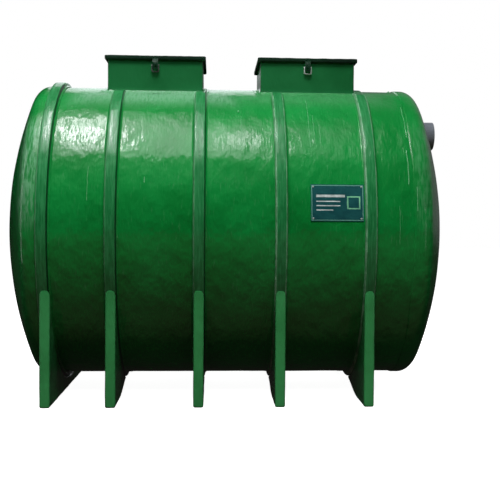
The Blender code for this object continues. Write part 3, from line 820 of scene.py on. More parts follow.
# %% [markdown]
# ### Hoop finish
# A hoop's crest is a later layer of laminate than the barrel, greyer and a little duller. Its two
# rolled edges carry painted light: the pale tone is a painted highlight, and the dark tone is a
# painted shade on the flank turned from the light. The material reads that from a number, "edge",
# which each point of the mesh carries. A picture would do it too, but a number needs no map and stays exactly
# on the edge.

# %% Hoop finish
HOOP_GREENS = ((0.010, 0.185, 0.045), (0.030, 0.260, 0.080))
# Painted highlight and painted shade colours for the hoops' rolled edges
EDGE_PAINTED_HIGHLIGHT, EDGE_PAINTED_SHADE = (0.260, 0.540, 0.320), (0.001, 0.020, 0.006)


def crest_finish():
    material, tree, shader = new_material("hoop_laminate", Coat_Weight=0.75, Coat_Roughness=0.14,
                                          Specular_IOR_Level=0.25)
    flow = round_place(tree, object_place(tree))
    streaks = noise_value(tree, stretched(tree, flow, (120.0, 10.0, 10.0)), 1.0, 3.0, 0.6)
    waves = noise_value(tree, stretched(tree, flow, (20.0, 9.0, 9.0)), 1.0, 2.0)
    patches = noise_value(tree, stretched(tree, flow, (4.0, 14.0, 14.0)), 1.0, 3.0, 0.6)
    edge = add_node(tree, "ShaderNodeAttribute", attribute_name="edge").outputs["Fac"]
    # A positive edge number paints a highlight, broken into patches, and a negative one paints shade
    patchy = ramp(tree, patches, 0.38, 0.60, 0.35, 1.0)
    bright = times(tree, compute(tree, "MAXIMUM", edge, 0.0), patchy)
    dark = compute(tree, "MAXIMUM", times(tree, edge, -1.0), 0.0)
    colour = mix_colour(tree, ramp(tree, streaks, 0.35, 0.70), *HOOP_GREENS)
    colour = mix_colour(tree, bright, colour, EDGE_PAINTED_HIGHLIGHT)
    wire(tree, mix_colour(tree, dark, colour, EDGE_PAINTED_SHADE), shader, "Base Color")
    wire(tree, ramp(tree, streaks, 0.3, 0.7, 0.34, 0.46), shader, "Roughness")
    add_bump(tree, shader, ((waves, 0.008), (streaks, 0.0014)))
    add_bump(tree, shader, ((waves, 0.003), (streaks, 0.0006)), "Coat Normal")
    return material


crest_laminate = crest_finish()
print("hoop finish:", crest_laminate.name, "with", len(crest_laminate.node_tree.nodes), "nodes")

# %% [markdown]
# ### Rolled edges
# Three hoops have a painted highlight on the left edge and a painted shade on the right one, and two
# have painted highlights on both sides. The painted shade covers only the lower part of the roll,
# and near the crown it turns to painted highlight. The thin strip beside each edge lies on the
# barrel, so its faces take the barrel's own finish.

# %% Rolled edges
# The left and right edges' tones, from -1 for painted shade to 1 for painted highlight
EDGE_LIGHT_TONES = ((0.35, -0.9), (0.35, -0.9), (0.45, -0.9), (0.9, 0.8), (0.9, 0.8))
# Distances from a hoop's middle: where the edge starts, its lower part, its end, and the strip
EDGE_START, EDGE_LOWER, EDGE_END, STRIP_START = 0.0230, 0.0255, 0.0310, 0.0315
EDGE_HEIGHT = 0.006
# The painted highlight's tone at the crown, and the upward slope at which it starts and the range until it is
# full
CROWN_HIGHLIGHT_TONE, CROWN_START, CROWN_RANGE = 0.7, 0.955, 0.030


def eased(share):
    """A share kept between 0 and 1, with a soft start and end."""
    share = min(1.0, max(0.0, share))
    return share * share * (3.0 - 2.0 * share)


def edge_light_tone(place, across, tones):
    """The painted light tone of a rolled edge at a place."""
    tone = tones[0] if across < 0.0 else tones[1]
    if tone >= 0.0:
        return tone
    if abs(across) <= EDGE_LOWER:
        return 0.0
    upward = (place.z - AXIS_Z) / math.hypot(place.y, place.z - AXIS_Z)
    return tone + (CROWN_HIGHLIGHT_TONE - tone) * eased((upward - CROWN_START) / CROWN_RANGE)


def mark_hoop(hoop, x, tones):
    """Mark the rolled edges' painted highlight and shade, and give the thin strips beside them the barrel's
    own finish.
    """
    marks = hoop.data.attributes.new("edge", "FLOAT", "POINT")
    for vert, mark in zip(hoop.data.vertices, marks.data):
        across = vert.co.x - x
        raised = math.hypot(vert.co.y, vert.co.z - AXIS_Z) > RADIUS + EDGE_HEIGHT
        if raised and EDGE_START < abs(across) < EDGE_END:
            mark.value = edge_light_tone(vert.co, across, tones)
    hoop.data.materials.append(shell_laminate)
    for face in hoop.data.polygons:
        face.material_index = 1 if abs(face.center.x - x) > STRIP_START else 0


print("edge tones, left and right:", EDGE_LIGHT_TONES)

# %% [markdown]
# ### Sweep the hoops
# Each hoop is grown from the tree and marked. Where it runs up to a neck, it was rolled down
# towards the barrel so that the neck's own laminate could lap over it. Its points are moved
# straight towards the axis there, which keeps the section's shape and only makes it thinner.

# %% Sweep the hoops
# How far from a neck a hoop is rolled down, and what share of its height is left there
ROLL_REACH, ROLLED_SHARE = 0.11, 0.30


def necks_met(x):
    """The places of the necks that a hoop runs up to."""
    return [neck_x for neck_x in NECKS.values() if abs(x - neck_x) < NECK_HALF + HOOP_REACH]


def roll_down(hoop):
    """Roll a hoop's upper half down towards the barrel where it runs up to a neck."""
    for vert in hoop.data.vertices:
        out = Vector((0.0, vert.co.y, vert.co.z - AXIS_Z))
        if out.z > 0.0 and out.length > RADIUS:
            share = eased((abs(vert.co.y) - NECK_HALF) / ROLL_REACH)
            kept = ROLLED_SHARE + (1.0 - ROLLED_SHARE) * share
            far = RADIUS + (out.length - RADIUS) * kept
            vert.co.yz = Vector((0.0, AXIS_Z)) + out.yz.normalized() * far


hoops = []
for number, x in enumerate(HOOPS, 1):
    outline = section_object(hoop_section(number))
    hoop = grow(f"hoop_band_{number}", sweep_hoop, hoop_sockets, {
        "Section": outline, "Radius": RADIUS, "Axis Height": AXIS_Z, "Place": x, "Wobble": WOBBLE,
        "Wobble Length": WOBBLE_LENGTH, "Seed": number, "Finish": crest_laminate})
    bpy.data.objects.remove(outline, do_unlink=True)
    mark_hoop(hoop, x, EDGE_LIGHT_TONES[number - 1])
    if necks_met(x):
        roll_down(hoop)
    hoops.append(hoop)
    print(hoop.name, "faces", len(hoop.data.polygons))

# %% [markdown]
# ### Notches for the necks
# Two necks stand where hoops pass, and the hoops stop at the necks' walls. Square cutters as wide
# as the necks take that part of each hoop away. A Boolean suits this, because the cut faces are
# hidden against the walls and their shading never shows.

# %% Notch the hoops at the necks
def box_cutter(low, high):
    """A box between two corners, to cut with."""
    skin = bmesh.new()
    middle = (Vector(low) + Vector(high)) / 2.0
    size = Vector(high) - Vector(low)
    bmesh.ops.create_cube(skin, size=1.0, matrix=Matrix.LocRotScale(middle, None, size))
    return make_piece("cutter", skin, shell_laminate)


reach = NECK_HALF + GAP
for number, (hoop, x) in enumerate(zip(hoops, HOOPS), 1):
    for neck_x in necks_met(x):
        apply_boolean(hoop, box_cutter((neck_x - reach, -reach, AXIS_Z),
                                       (neck_x + reach, reach, NECK_TOP)))
    dress(hoop, "tank", "laminate", f"hoop_{number}")

# %% [markdown]
# ## Foot plates
# Ten plates carry the tank, one under each side of every hoop. A plate's outline is simple: a
# straight outer edge, the hoop's curve above, and an underside that is flat on the floor at first
# and then rises slowly to the toe. Only the first pair stays flat all the way and meets in the
# middle. A plate is built as thin upright slices from the outer edge to the toe, each a rounded
# rectangle as high as the plate is there, which gives soft edges all round without any bevel.

# %% Foot plates
leg_low, leg_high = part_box("front_leg_2")
LEG_REACH, LEG_TOE = -leg_low.y, -leg_high.y
LEG_HALF = (leg_high.x - leg_low.x) / 2.0
FLAT_TOE = -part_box("front_leg_1")[1].y
LEG_FOOT_INNER = 0.500
LEG_ARCH = 0.052
LEG_ARCH_POWER = 1.3
LEG_CORNER = 0.008
EDGE = 0.010
EDGE_STEPS = 5
# Points this near the first pair's meeting line are put exactly on it
TOE_SNAP = 0.003
CRADLE = RADIUS + HOOP_HEIGHT + GAP
print("foot plates reach from", round(LEG_REACH, 3), "to", round(LEG_TOE, 3),
      "and the first to", round(FLAT_TOE, 4))


def leg_span(y, toe):
    """Lowest and highest point of a foot plate at a distance y from the tank's middle."""
    low = 0.0
    if toe > FLAT_TOE and y < LEG_FOOT_INNER:
        low = LEG_ARCH * ((LEG_FOOT_INNER - y) / (LEG_FOOT_INNER - toe)) ** LEG_ARCH_POWER
    inset = LEG_REACH - y
    if inset < LEG_CORNER:
        low = LEG_CORNER - math.sqrt(LEG_CORNER ** 2 - (LEG_CORNER - inset) ** 2)
    return low, AXIS_Z - math.sqrt(CRADLE ** 2 - y ** 2)


def leg_slice(x, y, toe, half, hand, rows=26, corner_steps=4):
    """A closed loop round the plate at y: up the left face and down the right."""
    low, high = leg_span(y, toe)
    bend = min(EDGE, half, (high - low) / 2.5)
    rise = []
    for k in range(corner_steps + 1):
        angle = math.pi / 2.0 * k / corner_steps
        rise.append((half - bend * (1.0 - math.sin(angle)), low + bend * (1.0 - math.cos(angle))))
    straight = [(half, low + bend + (high - low - 2.0 * bend) * k / rows) for k in range(1, rows)]
    fall = [(across, low + high - z) for across, z in rise[::-1]]
    side = rise + straight + fall
    return ([(x - across, hand * y, z) for across, z in side]
            + [(x + across, hand * y, z) for across, z in side[::-1]])


# %% [markdown]
# ### Skin the plates
# The slices are joined like rings. The two outer ones are left open by that, and since each loop
# runs up one side and down the other, a ladder of quads closes them. The ripple pushes some points
# below the floor and some of the first pair past their meeting line, so those are put back.

# %% Skin the plates
def close_strip(skin, ring):
    """Close the end of a skin, whose last loop goes up one side and down the other."""
    count = len(ring)
    for k in range(count // 2 - 1):
        skin.faces.new((ring[k], ring[k + 1], ring[count - 2 - k], ring[count - 1 - k]))


def join_slices(slices):
    """Skin a list of loops that go up one side and down the other, and close both ends."""
    skin = join_rings(slices, False)
    skin.verts.ensure_lookup_table()
    count = len(slices[0])
    close_strip(skin, [skin.verts[k] for k in range(count)])
    close_strip(skin, [skin.verts[len(skin.verts) - count + k] for k in range(count)])
    return skin


def build_leg(name, x, toe, hand, seed, columns=44):
    slices = []
    for k in range(EDGE_STEPS):
        angle = math.pi / 2.0 * k / EDGE_STEPS
        slices.append(leg_slice(x, LEG_REACH - EDGE * (1.0 - math.cos(angle)), toe,
                                LEG_HALF - EDGE * (1.0 - math.sin(angle)), hand))
    first = LEG_REACH - EDGE
    for k in range(columns + 1):
        slices.append(leg_slice(x, first + (toe - first) * k / columns, toe, LEG_HALF, hand))
    skin = join_slices(slices)
    ripple(skin, 0.0012, 0.12, seed)
    for vert in skin.verts:
        vert.co.z = max(vert.co.z, 0.0)
        if hand * vert.co.y < FLAT_TOE + TOE_SNAP:
            vert.co.y = hand * FLAT_TOE
    return make_piece(name, skin, foot_laminate)


for number, x in enumerate(FEET, 1):
    toe = FLAT_TOE if number == 1 else LEG_TOE
    for place, hand in (("front", -1.0), ("back", 1.0)):
        leg = build_leg(f"{place}_foot_plate_{number}", x, toe, hand, number + 5.0 * hand)
        dress(leg, "tank", "foot_laminate", f"{place}_leg_{number}")

# %% [markdown]
# ## Manhole necks
# Each neck is a square laminate box that stands on the barrel. A band of laminate, the tabbing,
# joins it to the barrel: it curves out of the wall and feathers away on the round surface. The
# neck is a skin of square loops. Each loop lies a little further out, and its height follows the
# barrel under it, so the tabbing hugs the curve on the two long sides.

# %% Square loops
def square_loop(x, half, corner, height, side_steps=26, corner_steps=6):
    """A loop round a square with rounded corners; height is a function of the point's y."""
    loop = []
    flat = half - corner
    for quarter in range(4):
        turned = Matrix.Rotation(quarter * math.pi / 2.0, 2)
        side = [Vector((half, -flat + 2.0 * flat * k / side_steps)) for k in range(side_steps)]
        side += [Vector((flat + corner * math.cos(a), flat + corner * math.sin(a)))
                 for a in (math.pi / 2.0 * k / corner_steps for k in range(corner_steps))]
        for point in side:
            place = turned @ point
            loop.append((x + place.x, place.y, height(place.y)))
    return loop


def barrel_top_z(y):
    """How high the barrel's back is at a distance y from its middle."""
    return AXIS_Z + math.sqrt(RADIUS ** 2 - y ** 2) + GAP


print("the barrel's back is", round(barrel_top_z(0.0), 4), "m high, and",
      round(barrel_top_z(NECK_HALF), 4), "m at a neck's wall")

# %% [markdown]
# ### Wall and tabbing
# The loops run up the inside, over the rim, down the outside and out along the tabbing, whose last
# rings wander a little and follow the barrel as they do. The wall is the neck's own darker
# laminate, and the tabbing is the barrel's.

# %% Necks
NECK_CORNER = 0.010
# How far the rim's flat top stops short of the outer face
NECK_EASE = 0.0015
TABBING_START = 0.0015
TABBING_RINGS = 4
# The tabbing's section, as (out from the wall, height over the barrel)
TABBING = ((0.0004, 0.0080), (0.0014, 0.0058), (0.0034, 0.0042), (0.0070, 0.0031), (0.014, 0.0025),
           (0.024, 0.0021), (0.031, 0.0014), (0.035, 0.0002), (0.034, 0.0))


def build_neck(name, x, seed):
    loops = []

    def add_loop(offset, rise, share=0.0):
        """Add a loop at an offset out from the wall, a rise over the barrel, part way to the top."""
        def height(y):
            ground = barrel_top_z(y) + rise
            return ground + (NECK_TOP - ground) * share
        loops.append(square_loop(x, NECK_HALF + offset, NECK_CORNER + offset, height))

    for share in (0.0, 0.25, 0.5, 0.75, 0.97, 1.0):
        add_loop(-NECK_WALL, 0.0, share)
    add_loop(-NECK_EASE, 0.0, 1.0)
    for share in (0.985, 0.9, 0.8, 0.65, 0.5, 0.35, 0.2, 0.1):
        add_loop(0.0, TABBING[0][1], share)
    for offset, rise in TABBING:
        add_loop(offset, rise)
    skin = join_rings(loops)
    skin.verts.ensure_lookup_table()
    count = len(loops[0])
    for vert in list(skin.verts)[-TABBING_RINGS * count:]:
        wander = 0.005 * soft_wave(vert.co, 0.09, seed)
        out = Vector((vert.co.x - x, vert.co.y, 0.0)).normalized()
        place = vert.co + out * wander
        vert.co.z += barrel_top_z(place.y) - barrel_top_z(vert.co.y)
        vert.co.x, vert.co.y = place.x, place.y
    ripple(skin, 0.0007, 0.11, seed)
    for vert in skin.verts:
        vert.co.z = min(vert.co.z, NECK_TOP)
    neck = make_piece(name, skin, neck_laminate, 50.0)
    neck.data.materials.append(shell_laminate)
    for face in neck.data.polygons:
        beyond = max(abs(face.center.x - x), abs(face.center.y)) - NECK_HALF
        face.material_index = 1 if beyond > TABBING_START else 0
    return neck


for seed, (side, x) in enumerate(NECKS.items(), 11):
    dress(build_neck(f"manhole_neck_{side}", x, seed), "tank", "laminate", f"neck_{side}")

# %% [markdown]
# ## Lids
# A lid is a shallow pan turned over the neck, 8 mm thick, with a lip all round that hides the
# seal. Its edge is rolled over by hand and is not quite even. The same square loops make it, from
# the middle of the top, over the rolled edge, down and round the lip, and back under to the middle.

# %% Lids
lid_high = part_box("lid_left")[1]
LID_HALF, LID_TOP = lid_high.y, lid_high.z
LID_WALL, LIP_WALL = 0.008, 0.006
LID_UNDER = LID_TOP - LID_WALL
LID_CORNER = 0.012
LID_RIM = 0.010
# Half widths of the loops across the middle, and the rolled edge as (half width, drop)
LID_LOOPS = (0.010, 0.060, 0.120, 0.180, 0.230, 0.258, 0.266)
LID_EDGE = ((0.2712, 0.0002), (0.2726, 0.0008), (0.2736, 0.0020), (LID_HALF, 0.0040),
            (LID_HALF, 0.0150), (0.2736, 0.0200), (0.2722, 0.0216), (0.2705, 0.0220),
            (0.2690, 0.0214), (0.2680, 0.0200))


def build_lid(name, x, seed):
    loops = []

    def add_loop(half, z):
        loops.append(square_loop(x, half, min(LID_CORNER, half * 0.5), lambda y: z))

    for half in LID_LOOPS:
        add_loop(half, LID_TOP)
    for half, drop in LID_EDGE:
        add_loop(half, LID_TOP - drop)
    add_loop(LID_HALF - LIP_WALL, LID_UNDER - 0.002)
    for half in LID_LOOPS[::-1]:
        add_loop(half, LID_UNDER)
    skin = join_rings(loops, False)
    skin.verts.ensure_lookup_table()
    count = len(loops[0])
    skin.faces.new([skin.verts[k] for k in range(count)])
    skin.faces.new([skin.verts[len(skin.verts) - count + k] for k in range(count)])
    for vert in skin.verts:
        rim = max(abs(vert.co.x - x), abs(vert.co.y)) > LID_HALF - LID_RIM
        if rim and vert.co.z < LID_UNDER:
            vert.co.z += 0.0016 * soft_wave(vert.co, 0.10, seed) + 0.0004
        vert.co.z -= (0.0030 if rim else 0.0005) * abs(soft_wave(vert.co, 0.07, seed))
    return make_piece(name, skin, lid_laminate, 50.0)


for seed, (side, x) in enumerate(NECKS.items(), 21):
    dress(build_lid(f"manhole_lid_{side}", x, seed), f"{side}_cover", "lid_laminate", f"lid_{side}")

# %% [markdown]
# ## Steel, rubber, pipe and sign finishes
# Painted steel shows the primer in small worn patches, galvanised bar has a mottled zinc bloom,
# rubber is dull with a little dust, and the pipe is an extruded grey with faint lines along it. The
# zinc is made darker on one staple as painted shade.

# %% Hard finishes
def worn_metal(name, paint, bare, wear_start, metallic, roughness):
    """Paint or zinc that thins in small patches."""
    material, tree, shader = new_material(name, Metallic=metallic)
    place = object_place(tree)
    wear = noise_value(tree, place, 130.0, 4.0, 0.65)
    bloom = noise_value(tree, place, 420.0, 2.0)
    worn = ramp(tree, wear, wear_start, wear_start + 0.12)
    wire(tree, mix_colour(tree, worn, paint, bare), shader, "Base Color")
    wire(tree, ramp(tree, bloom, 0.3, 0.7, roughness, roughness + 0.18), shader, "Roughness")
    add_bump(tree, shader, ((wear, 0.0006), (bloom, 0.0002)))
    return material


dark_paint = worn_metal("dark_green_paint", (0.004, 0.034, 0.014), (0.080, 0.100, 0.080),
                        wear_start=0.62, metallic=0.1, roughness=0.30)
zinc = worn_metal("galvanised_steel", (0.62, 0.70, 0.66), (0.34, 0.40, 0.37),
                  wear_start=0.52, metallic=0.35, roughness=0.32)
# The same zinc made darker, as painted shade on the left staple
zinc_in_painted_shade = worn_metal("weathered_zinc", (0.150, 0.175, 0.165), (0.050, 0.055, 0.045),
                       wear_start=0.45, metallic=0.30, roughness=0.45)


def plain_noise_finish(name, low, high, scale, roughness, distance, stretch=(1.0, 1.0, 1.0)):
    """A matt finish whose colour and roughness drift between two values."""
    material, tree, shader = new_material(name)
    place = stretched(tree, object_place(tree), stretch)
    patches = noise_value(tree, place, scale, 4.0, 0.6)
    grain = noise_value(tree, place, scale * 9.0, 2.0)
    wire(tree, mix_colour(tree, ramp(tree, patches, 0.3, 0.7), low, high), shader, "Base Color")
    wire(tree, ramp(tree, grain, 0.3, 0.7, roughness - 0.08, roughness + 0.08), shader, "Roughness")
    add_bump(tree, shader, ((patches, distance), (grain, distance * 0.3)))
    return material


rubber = plain_noise_finish("seal_rubber", (0.012, 0.012, 0.012), (0.030, 0.031, 0.028),
                            scale=40.0, roughness=0.75, distance=0.0008)
pipe_grey = plain_noise_finish("grey_pipe", (0.150, 0.172, 0.192), (0.185, 0.206, 0.228),
                               scale=14.0, roughness=0.26, distance=0.0006, stretch=(0.15, 1.0, 1.0))
for side in SIDES:
    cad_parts[f"gasket_{side}"].material_slots[0].material = rubber
print("seals dressed:", [f"gasket_{side}" for side in SIDES])

# %% [markdown]
# ## Outlet pipe
# The outlet is a stub of thick grey pipe through the right-hand end. Its cut rim has a small
# chamfer inside and out. A collar of laminate seals it to the dish: a ring of points round the
# pipe for each step outwards, with every point lifted to the dish's own curve.

# %% Outlet pipe
PIPE_WALL = 0.005
PIPE_CUTS = 10
CHAMFER = 0.0012
# The collar's section, as (out from the pipe, height over the dish)
COLLAR = ((GAP, -0.004), (GAP, 0.016), (0.0012, 0.0125), (0.0035, 0.0085), (0.0075, 0.0055),
          (0.013, 0.0038), (0.020, 0.0028), (0.027, 0.0020), (0.031, 0.0004), (0.030, -0.004))
# Only the collar's outer part wanders, beyond this distance from the pipe
COLLAR_STEADY = 0.01


def build_pipe():
    start, end = pipe_low.x, pipe_high.x
    inner = PIPE_RADIUS - PIPE_WALL
    profile = [(start, inner), (start, PIPE_RADIUS)]
    profile += [(start + (end - start) * k / PIPE_CUTS, PIPE_RADIUS) for k in range(1, PIPE_CUTS)]
    profile += [(end - CHAMFER, PIPE_RADIUS), (end, PIPE_RADIUS - CHAMFER),
                (end, inner + CHAMFER), (end - CHAMFER, inner)]
    rings = [turned_ring(x, radius, PIPE_TURNS, PIPE_Z) for x, radius in profile]
    return make_piece("outlet_pipe_stub", join_rings(rings), pipe_grey, 30.0)


dress(build_pipe(), "tank", "pipe_plastic", "outlet_pipe")


def dish_x(y, z):
    """Where the right-hand dish's outer face is at a place seen from its end."""
    out = math.hypot(y, z - AXIS_Z)
    return HALF_LENGTH + END_DEPTH - CROWN_RADIUS + math.sqrt(CROWN_RADIUS ** 2 - out ** 2)


def build_collar(seed):
    rings = []
    for reach, rise in COLLAR:
        ring = []
        for k in range(PIPE_TURNS):
            angle = 2.0 * math.pi * k / PIPE_TURNS
            out = PIPE_RADIUS + reach
            if reach > COLLAR_STEADY:
                out += 0.004 * soft_wave((math.cos(angle), math.sin(angle), 0.0), 0.6, seed)
            y, z = out * math.cos(angle), PIPE_Z + out * math.sin(angle)
            ring.append((dish_x(y, z) + rise, y, z))
        rings.append(ring)
    return make_piece("pipe_collar", join_rings(rings), shell_laminate, 60.0)


dress(build_collar(31.0), "tank", "laminate")

# %% [markdown]
# ## Sign plate
# A thin teal plate is bent to the barrel between two hoops. It stays blank but for a pale border
# and a few ruled lines, like a data plate before it is filled in. The plate has its own UV map in
# metres, so the border keeps the same width on all four sides.

# %% Sign finish
sign_low, sign_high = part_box("sign_plate")
SIGN_MIDDLE = (sign_low.x + sign_high.x) / 2.0
SIGN_HALF = (sign_high.x - sign_low.x) / 2.0
SIGN_ANGLES = [math.asin((z - AXIS_Z) / (RADIUS + GAP)) for z in (sign_low.z, sign_high.z)]
SIGN_INNER = RADIUS + GAP
SIGN_OUTER = RADIUS + 0.0033
SIGN_TALL = (SIGN_ANGLES[1] - SIGN_ANGLES[0]) * SIGN_OUTER / 2.0


def band(tree, value, middle, half):
    """One where a value lies within half of the middle, else nothing."""
    return compute(tree, "LESS_THAN", apart(tree, value, middle), half)


# Ruled lines as (middle across, half length, middle up, half height), in metres
RULED_LINES = ((-0.034, 0.072, 0.034, 0.0065), (-0.046, 0.060, 0.006, 0.0028),
               (-0.046, 0.060, -0.016, 0.0028), (-0.064, 0.042, -0.038, 0.0028))
CELL_MIDDLE, CELL_HALF, CELL_LINE = 0.082, 0.030, 0.0034
BORDER_INSET, BORDER_LINE = 0.0055, 0.0018
TEALS = ((0.007, 0.072, 0.076), (0.012, 0.105, 0.102))
BORDER_GREEN, CELL_GREEN, LINE_WHITE = (0.150, 0.400, 0.300), (0.240, 0.680, 0.370), (0.740, 0.840, 0.800)


def sign_finish():
    material, tree, shader = new_material("teal_plate", Roughness=0.42, Specular_IOR_Level=0.35)
    across, upright, _ = split(tree, add_node(tree, "ShaderNodeUVMap", uv_map="plate").outputs[0])
    inset = compute(tree, "MINIMUM", compute(tree, "SUBTRACT", SIGN_HALF, apart(tree, across)),
                    compute(tree, "SUBTRACT", SIGN_TALL, apart(tree, upright)))
    lines = 0.0
    for u, half_length, v, half_height in RULED_LINES:
        line = times(tree, band(tree, across, u, half_length), band(tree, upright, v, half_height))
        lines = compute(tree, "MAXIMUM", lines, line)
    reach = compute(tree, "MAXIMUM", apart(tree, across, CELL_MIDDLE), apart(tree, upright))
    drift = noise_value(tree, object_place(tree), 22.0, 4.0, 0.6)
    fade = ramp(tree, drift, 0.30, 0.62, 0.55, 1.0)
    colour = mix_colour(tree, ramp(tree, drift, 0.3, 0.7), *TEALS)
    for share, printed in ((band(tree, inset, BORDER_INSET, BORDER_LINE), BORDER_GREEN),
                           (times(tree, band(tree, reach, CELL_HALF, CELL_LINE), fade), CELL_GREEN),
                           (times(tree, lines, fade), LINE_WHITE)):
        colour = mix_colour(tree, share, colour, printed)
    wire(tree, colour, shader, "Base Color")
    add_bump(tree, shader, ((drift, 0.0004),))
    return material


print("sign plate", round(2.0 * SIGN_HALF, 3), "m wide and", round(2.0 * SIGN_TALL, 3), "m tall")

# %% [markdown]
# ### Bend the plate
# The plate is a thin sheet pressed to the barrel, so it is made of upright slices again: each runs
# up the barrel's curve and back down it, one sheet's thickness further out. Its map is measured
# along that curve, because a flat projection would squeeze the pattern towards the top.

# %% Sign plate
def build_sign(across_steps=20, angle_steps=16):
    slices = []
    low, high = SIGN_ANGLES
    angles = [low + (high - low) * k / angle_steps for k in range(angle_steps + 1)]
    for k in range(across_steps + 1):
        x = SIGN_MIDDLE - SIGN_HALF + 2.0 * SIGN_HALF * k / across_steps
        slices.append([(x, -r * math.cos(a), AXIS_Z + r * math.sin(a))
                       for r, turns in ((SIGN_INNER, angles), (SIGN_OUTER, angles[::-1]))
                       for a in turns])
    plate = make_piece("sign_panel", join_slices(slices), sign_finish())
    chart = plate.data.uv_layers.new(name="plate")
    for loop in plate.data.loops:
        place = plate.data.vertices[loop.vertex_index].co
        angle = math.atan2(place.z - AXIS_Z, -place.y)
        chart.data[loop.index].uv = (place.x - SIGN_MIDDLE, (angle - (low + high) / 2.0) * SIGN_OUTER)
    return plate


dress(build_sign(), "tank", "sign", "sign_plate")

# %% [markdown]
# ## Straps and hinges
# Straps and hinge halves are cut and folded from sheet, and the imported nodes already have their
# shape. What they lack is the small round edge that catches light. A copy of each node is merged
# into clean faces and its edges are bevelled; the copy stands for the node.

# %% Straps and hinges
STRAP_BEVEL, HINGE_BEVEL = 0.0008, 0.0006


def softened(node, name, width):
    """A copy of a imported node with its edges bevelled, in dark paint."""
    skin = bmesh.new()
    skin.from_mesh(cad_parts[node].data)
    bmesh.ops.remove_doubles(skin, verts=skin.verts, dist=0.00001)
    bmesh.ops.dissolve_limit(skin, angle_limit=math.radians(1.0), verts=skin.verts, edges=skin.edges)
    piece = make_piece(name, skin, dark_paint)
    bevel = piece.modifiers.new("edges", "BEVEL")
    bevel.width = width
    bevel.segments = 2
    bevel.limit_method = "ANGLE"
    bevel.angle_limit = math.radians(50.0)
    settle(piece)
    return piece


for side in SIDES:
    strap = softened(f"strap_{side}", f"locking_strap_{side}", STRAP_BEVEL)
    dress(strap, f"{side}_cover", "painted_steel", f"strap_{side}")
    for number in (1, 2):
        for half, part, body in (("leaf", "flap", f"{side}_cover"), ("bracket", "base", "tank")):
            node = f"hinge_{half}_{side}_{number}"
            plate = softened(node, f"hinge_{part}_{side}_{number}", HINGE_BEVEL)
            dress(plate, body, "painted_steel", node)

# %% [markdown]
# ## Staples
# A staple is a round bar bent to a U, which is a curve with a round bevel. The curve runs from
# the neck's wall, out, down, across and back up. Both staples are alike: the left one's darker zinc
# is painted shade, and the right one has the bright zinc.

# %% Staples
STAPLE_BAR = 0.004
STAPLE_BEND = 0.009


def rounded_route(corners, radius, steps=8):
    """A route through the corners, each rounded by a short smooth bend."""
    route = [corners[0]]
    for before, corner, after in zip(corners, corners[1:], corners[2:]):
        start = corner + (before - corner).normalized() * radius
        end = corner + (after - corner).normalized() * radius
        for k in range(steps + 1):
            t = k / steps
            route.append(start * (1.0 - t) ** 2 + corner * 2.0 * t * (1.0 - t) + end * t ** 2)
    return route + [corners[-1]]


def build_staple(name, node, finish):
    low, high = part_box(node)
    left, right = low.x + STAPLE_BAR, high.x - STAPLE_BAR
    front, wall = low.y + STAPLE_BAR, high.y
    top, bottom = high.z - STAPLE_BAR, low.z + STAPLE_BAR
    corners = [Vector(p) for p in ((left, wall, top), (left, front, top), (left, front, bottom),
                                   (right, front, bottom), (right, front, top), (right, wall, top))]
    route = rounded_route(corners, STAPLE_BEND)
    curve = bpy.data.curves.new(name, "CURVE")
    curve.dimensions = "3D"
    curve.bevel_depth = STAPLE_BAR
    curve.bevel_resolution = 4
    curve.use_fill_caps = True
    spline = curve.splines.new("POLY")
    spline.points.add(len(route) - 1)
    for place, point in zip(spline.points, route):
        place.co = (*point, 1.0)
    bar = put("bar", curve)
    view = bpy.context.evaluated_depsgraph_get()
    skin = bmesh.new()
    skin.from_mesh(bar.evaluated_get(view).to_mesh())
    bpy.data.objects.remove(bar, do_unlink=True)
    bmesh.ops.remove_doubles(skin, verts=skin.verts, dist=0.000001)
    return make_piece(name, skin, finish, 50.0)


# The left staple takes the zinc in painted shade
for side, finish in (("left", zinc_in_painted_shade), ("right", zinc)):
    staple = build_staple(f"padlock_staple_{side}", f"staple_{side}", finish)
    dress(staple, "tank", "bright_steel", f"staple_{side}")

# %% [markdown]
# ## Resin runs
# Where too much resin was rolled on, it ran down the barrel and cured as thin pale threads. Each
# run is a curve that follows the barrel's arc and wanders a little from side to side. The tree
# places its points by angle, swells and thins the thread by noise, and sweeps a small circle
# along it. All runs are joined to one piece.

# %% Run tree
RUN_POINTS, THREAD_SIDES = 40, 10
# How fast a run's drift changes along its arc, and the least share of its width
DRIFT_PACE, LEAST_WIDTH = 14.0, 0.12


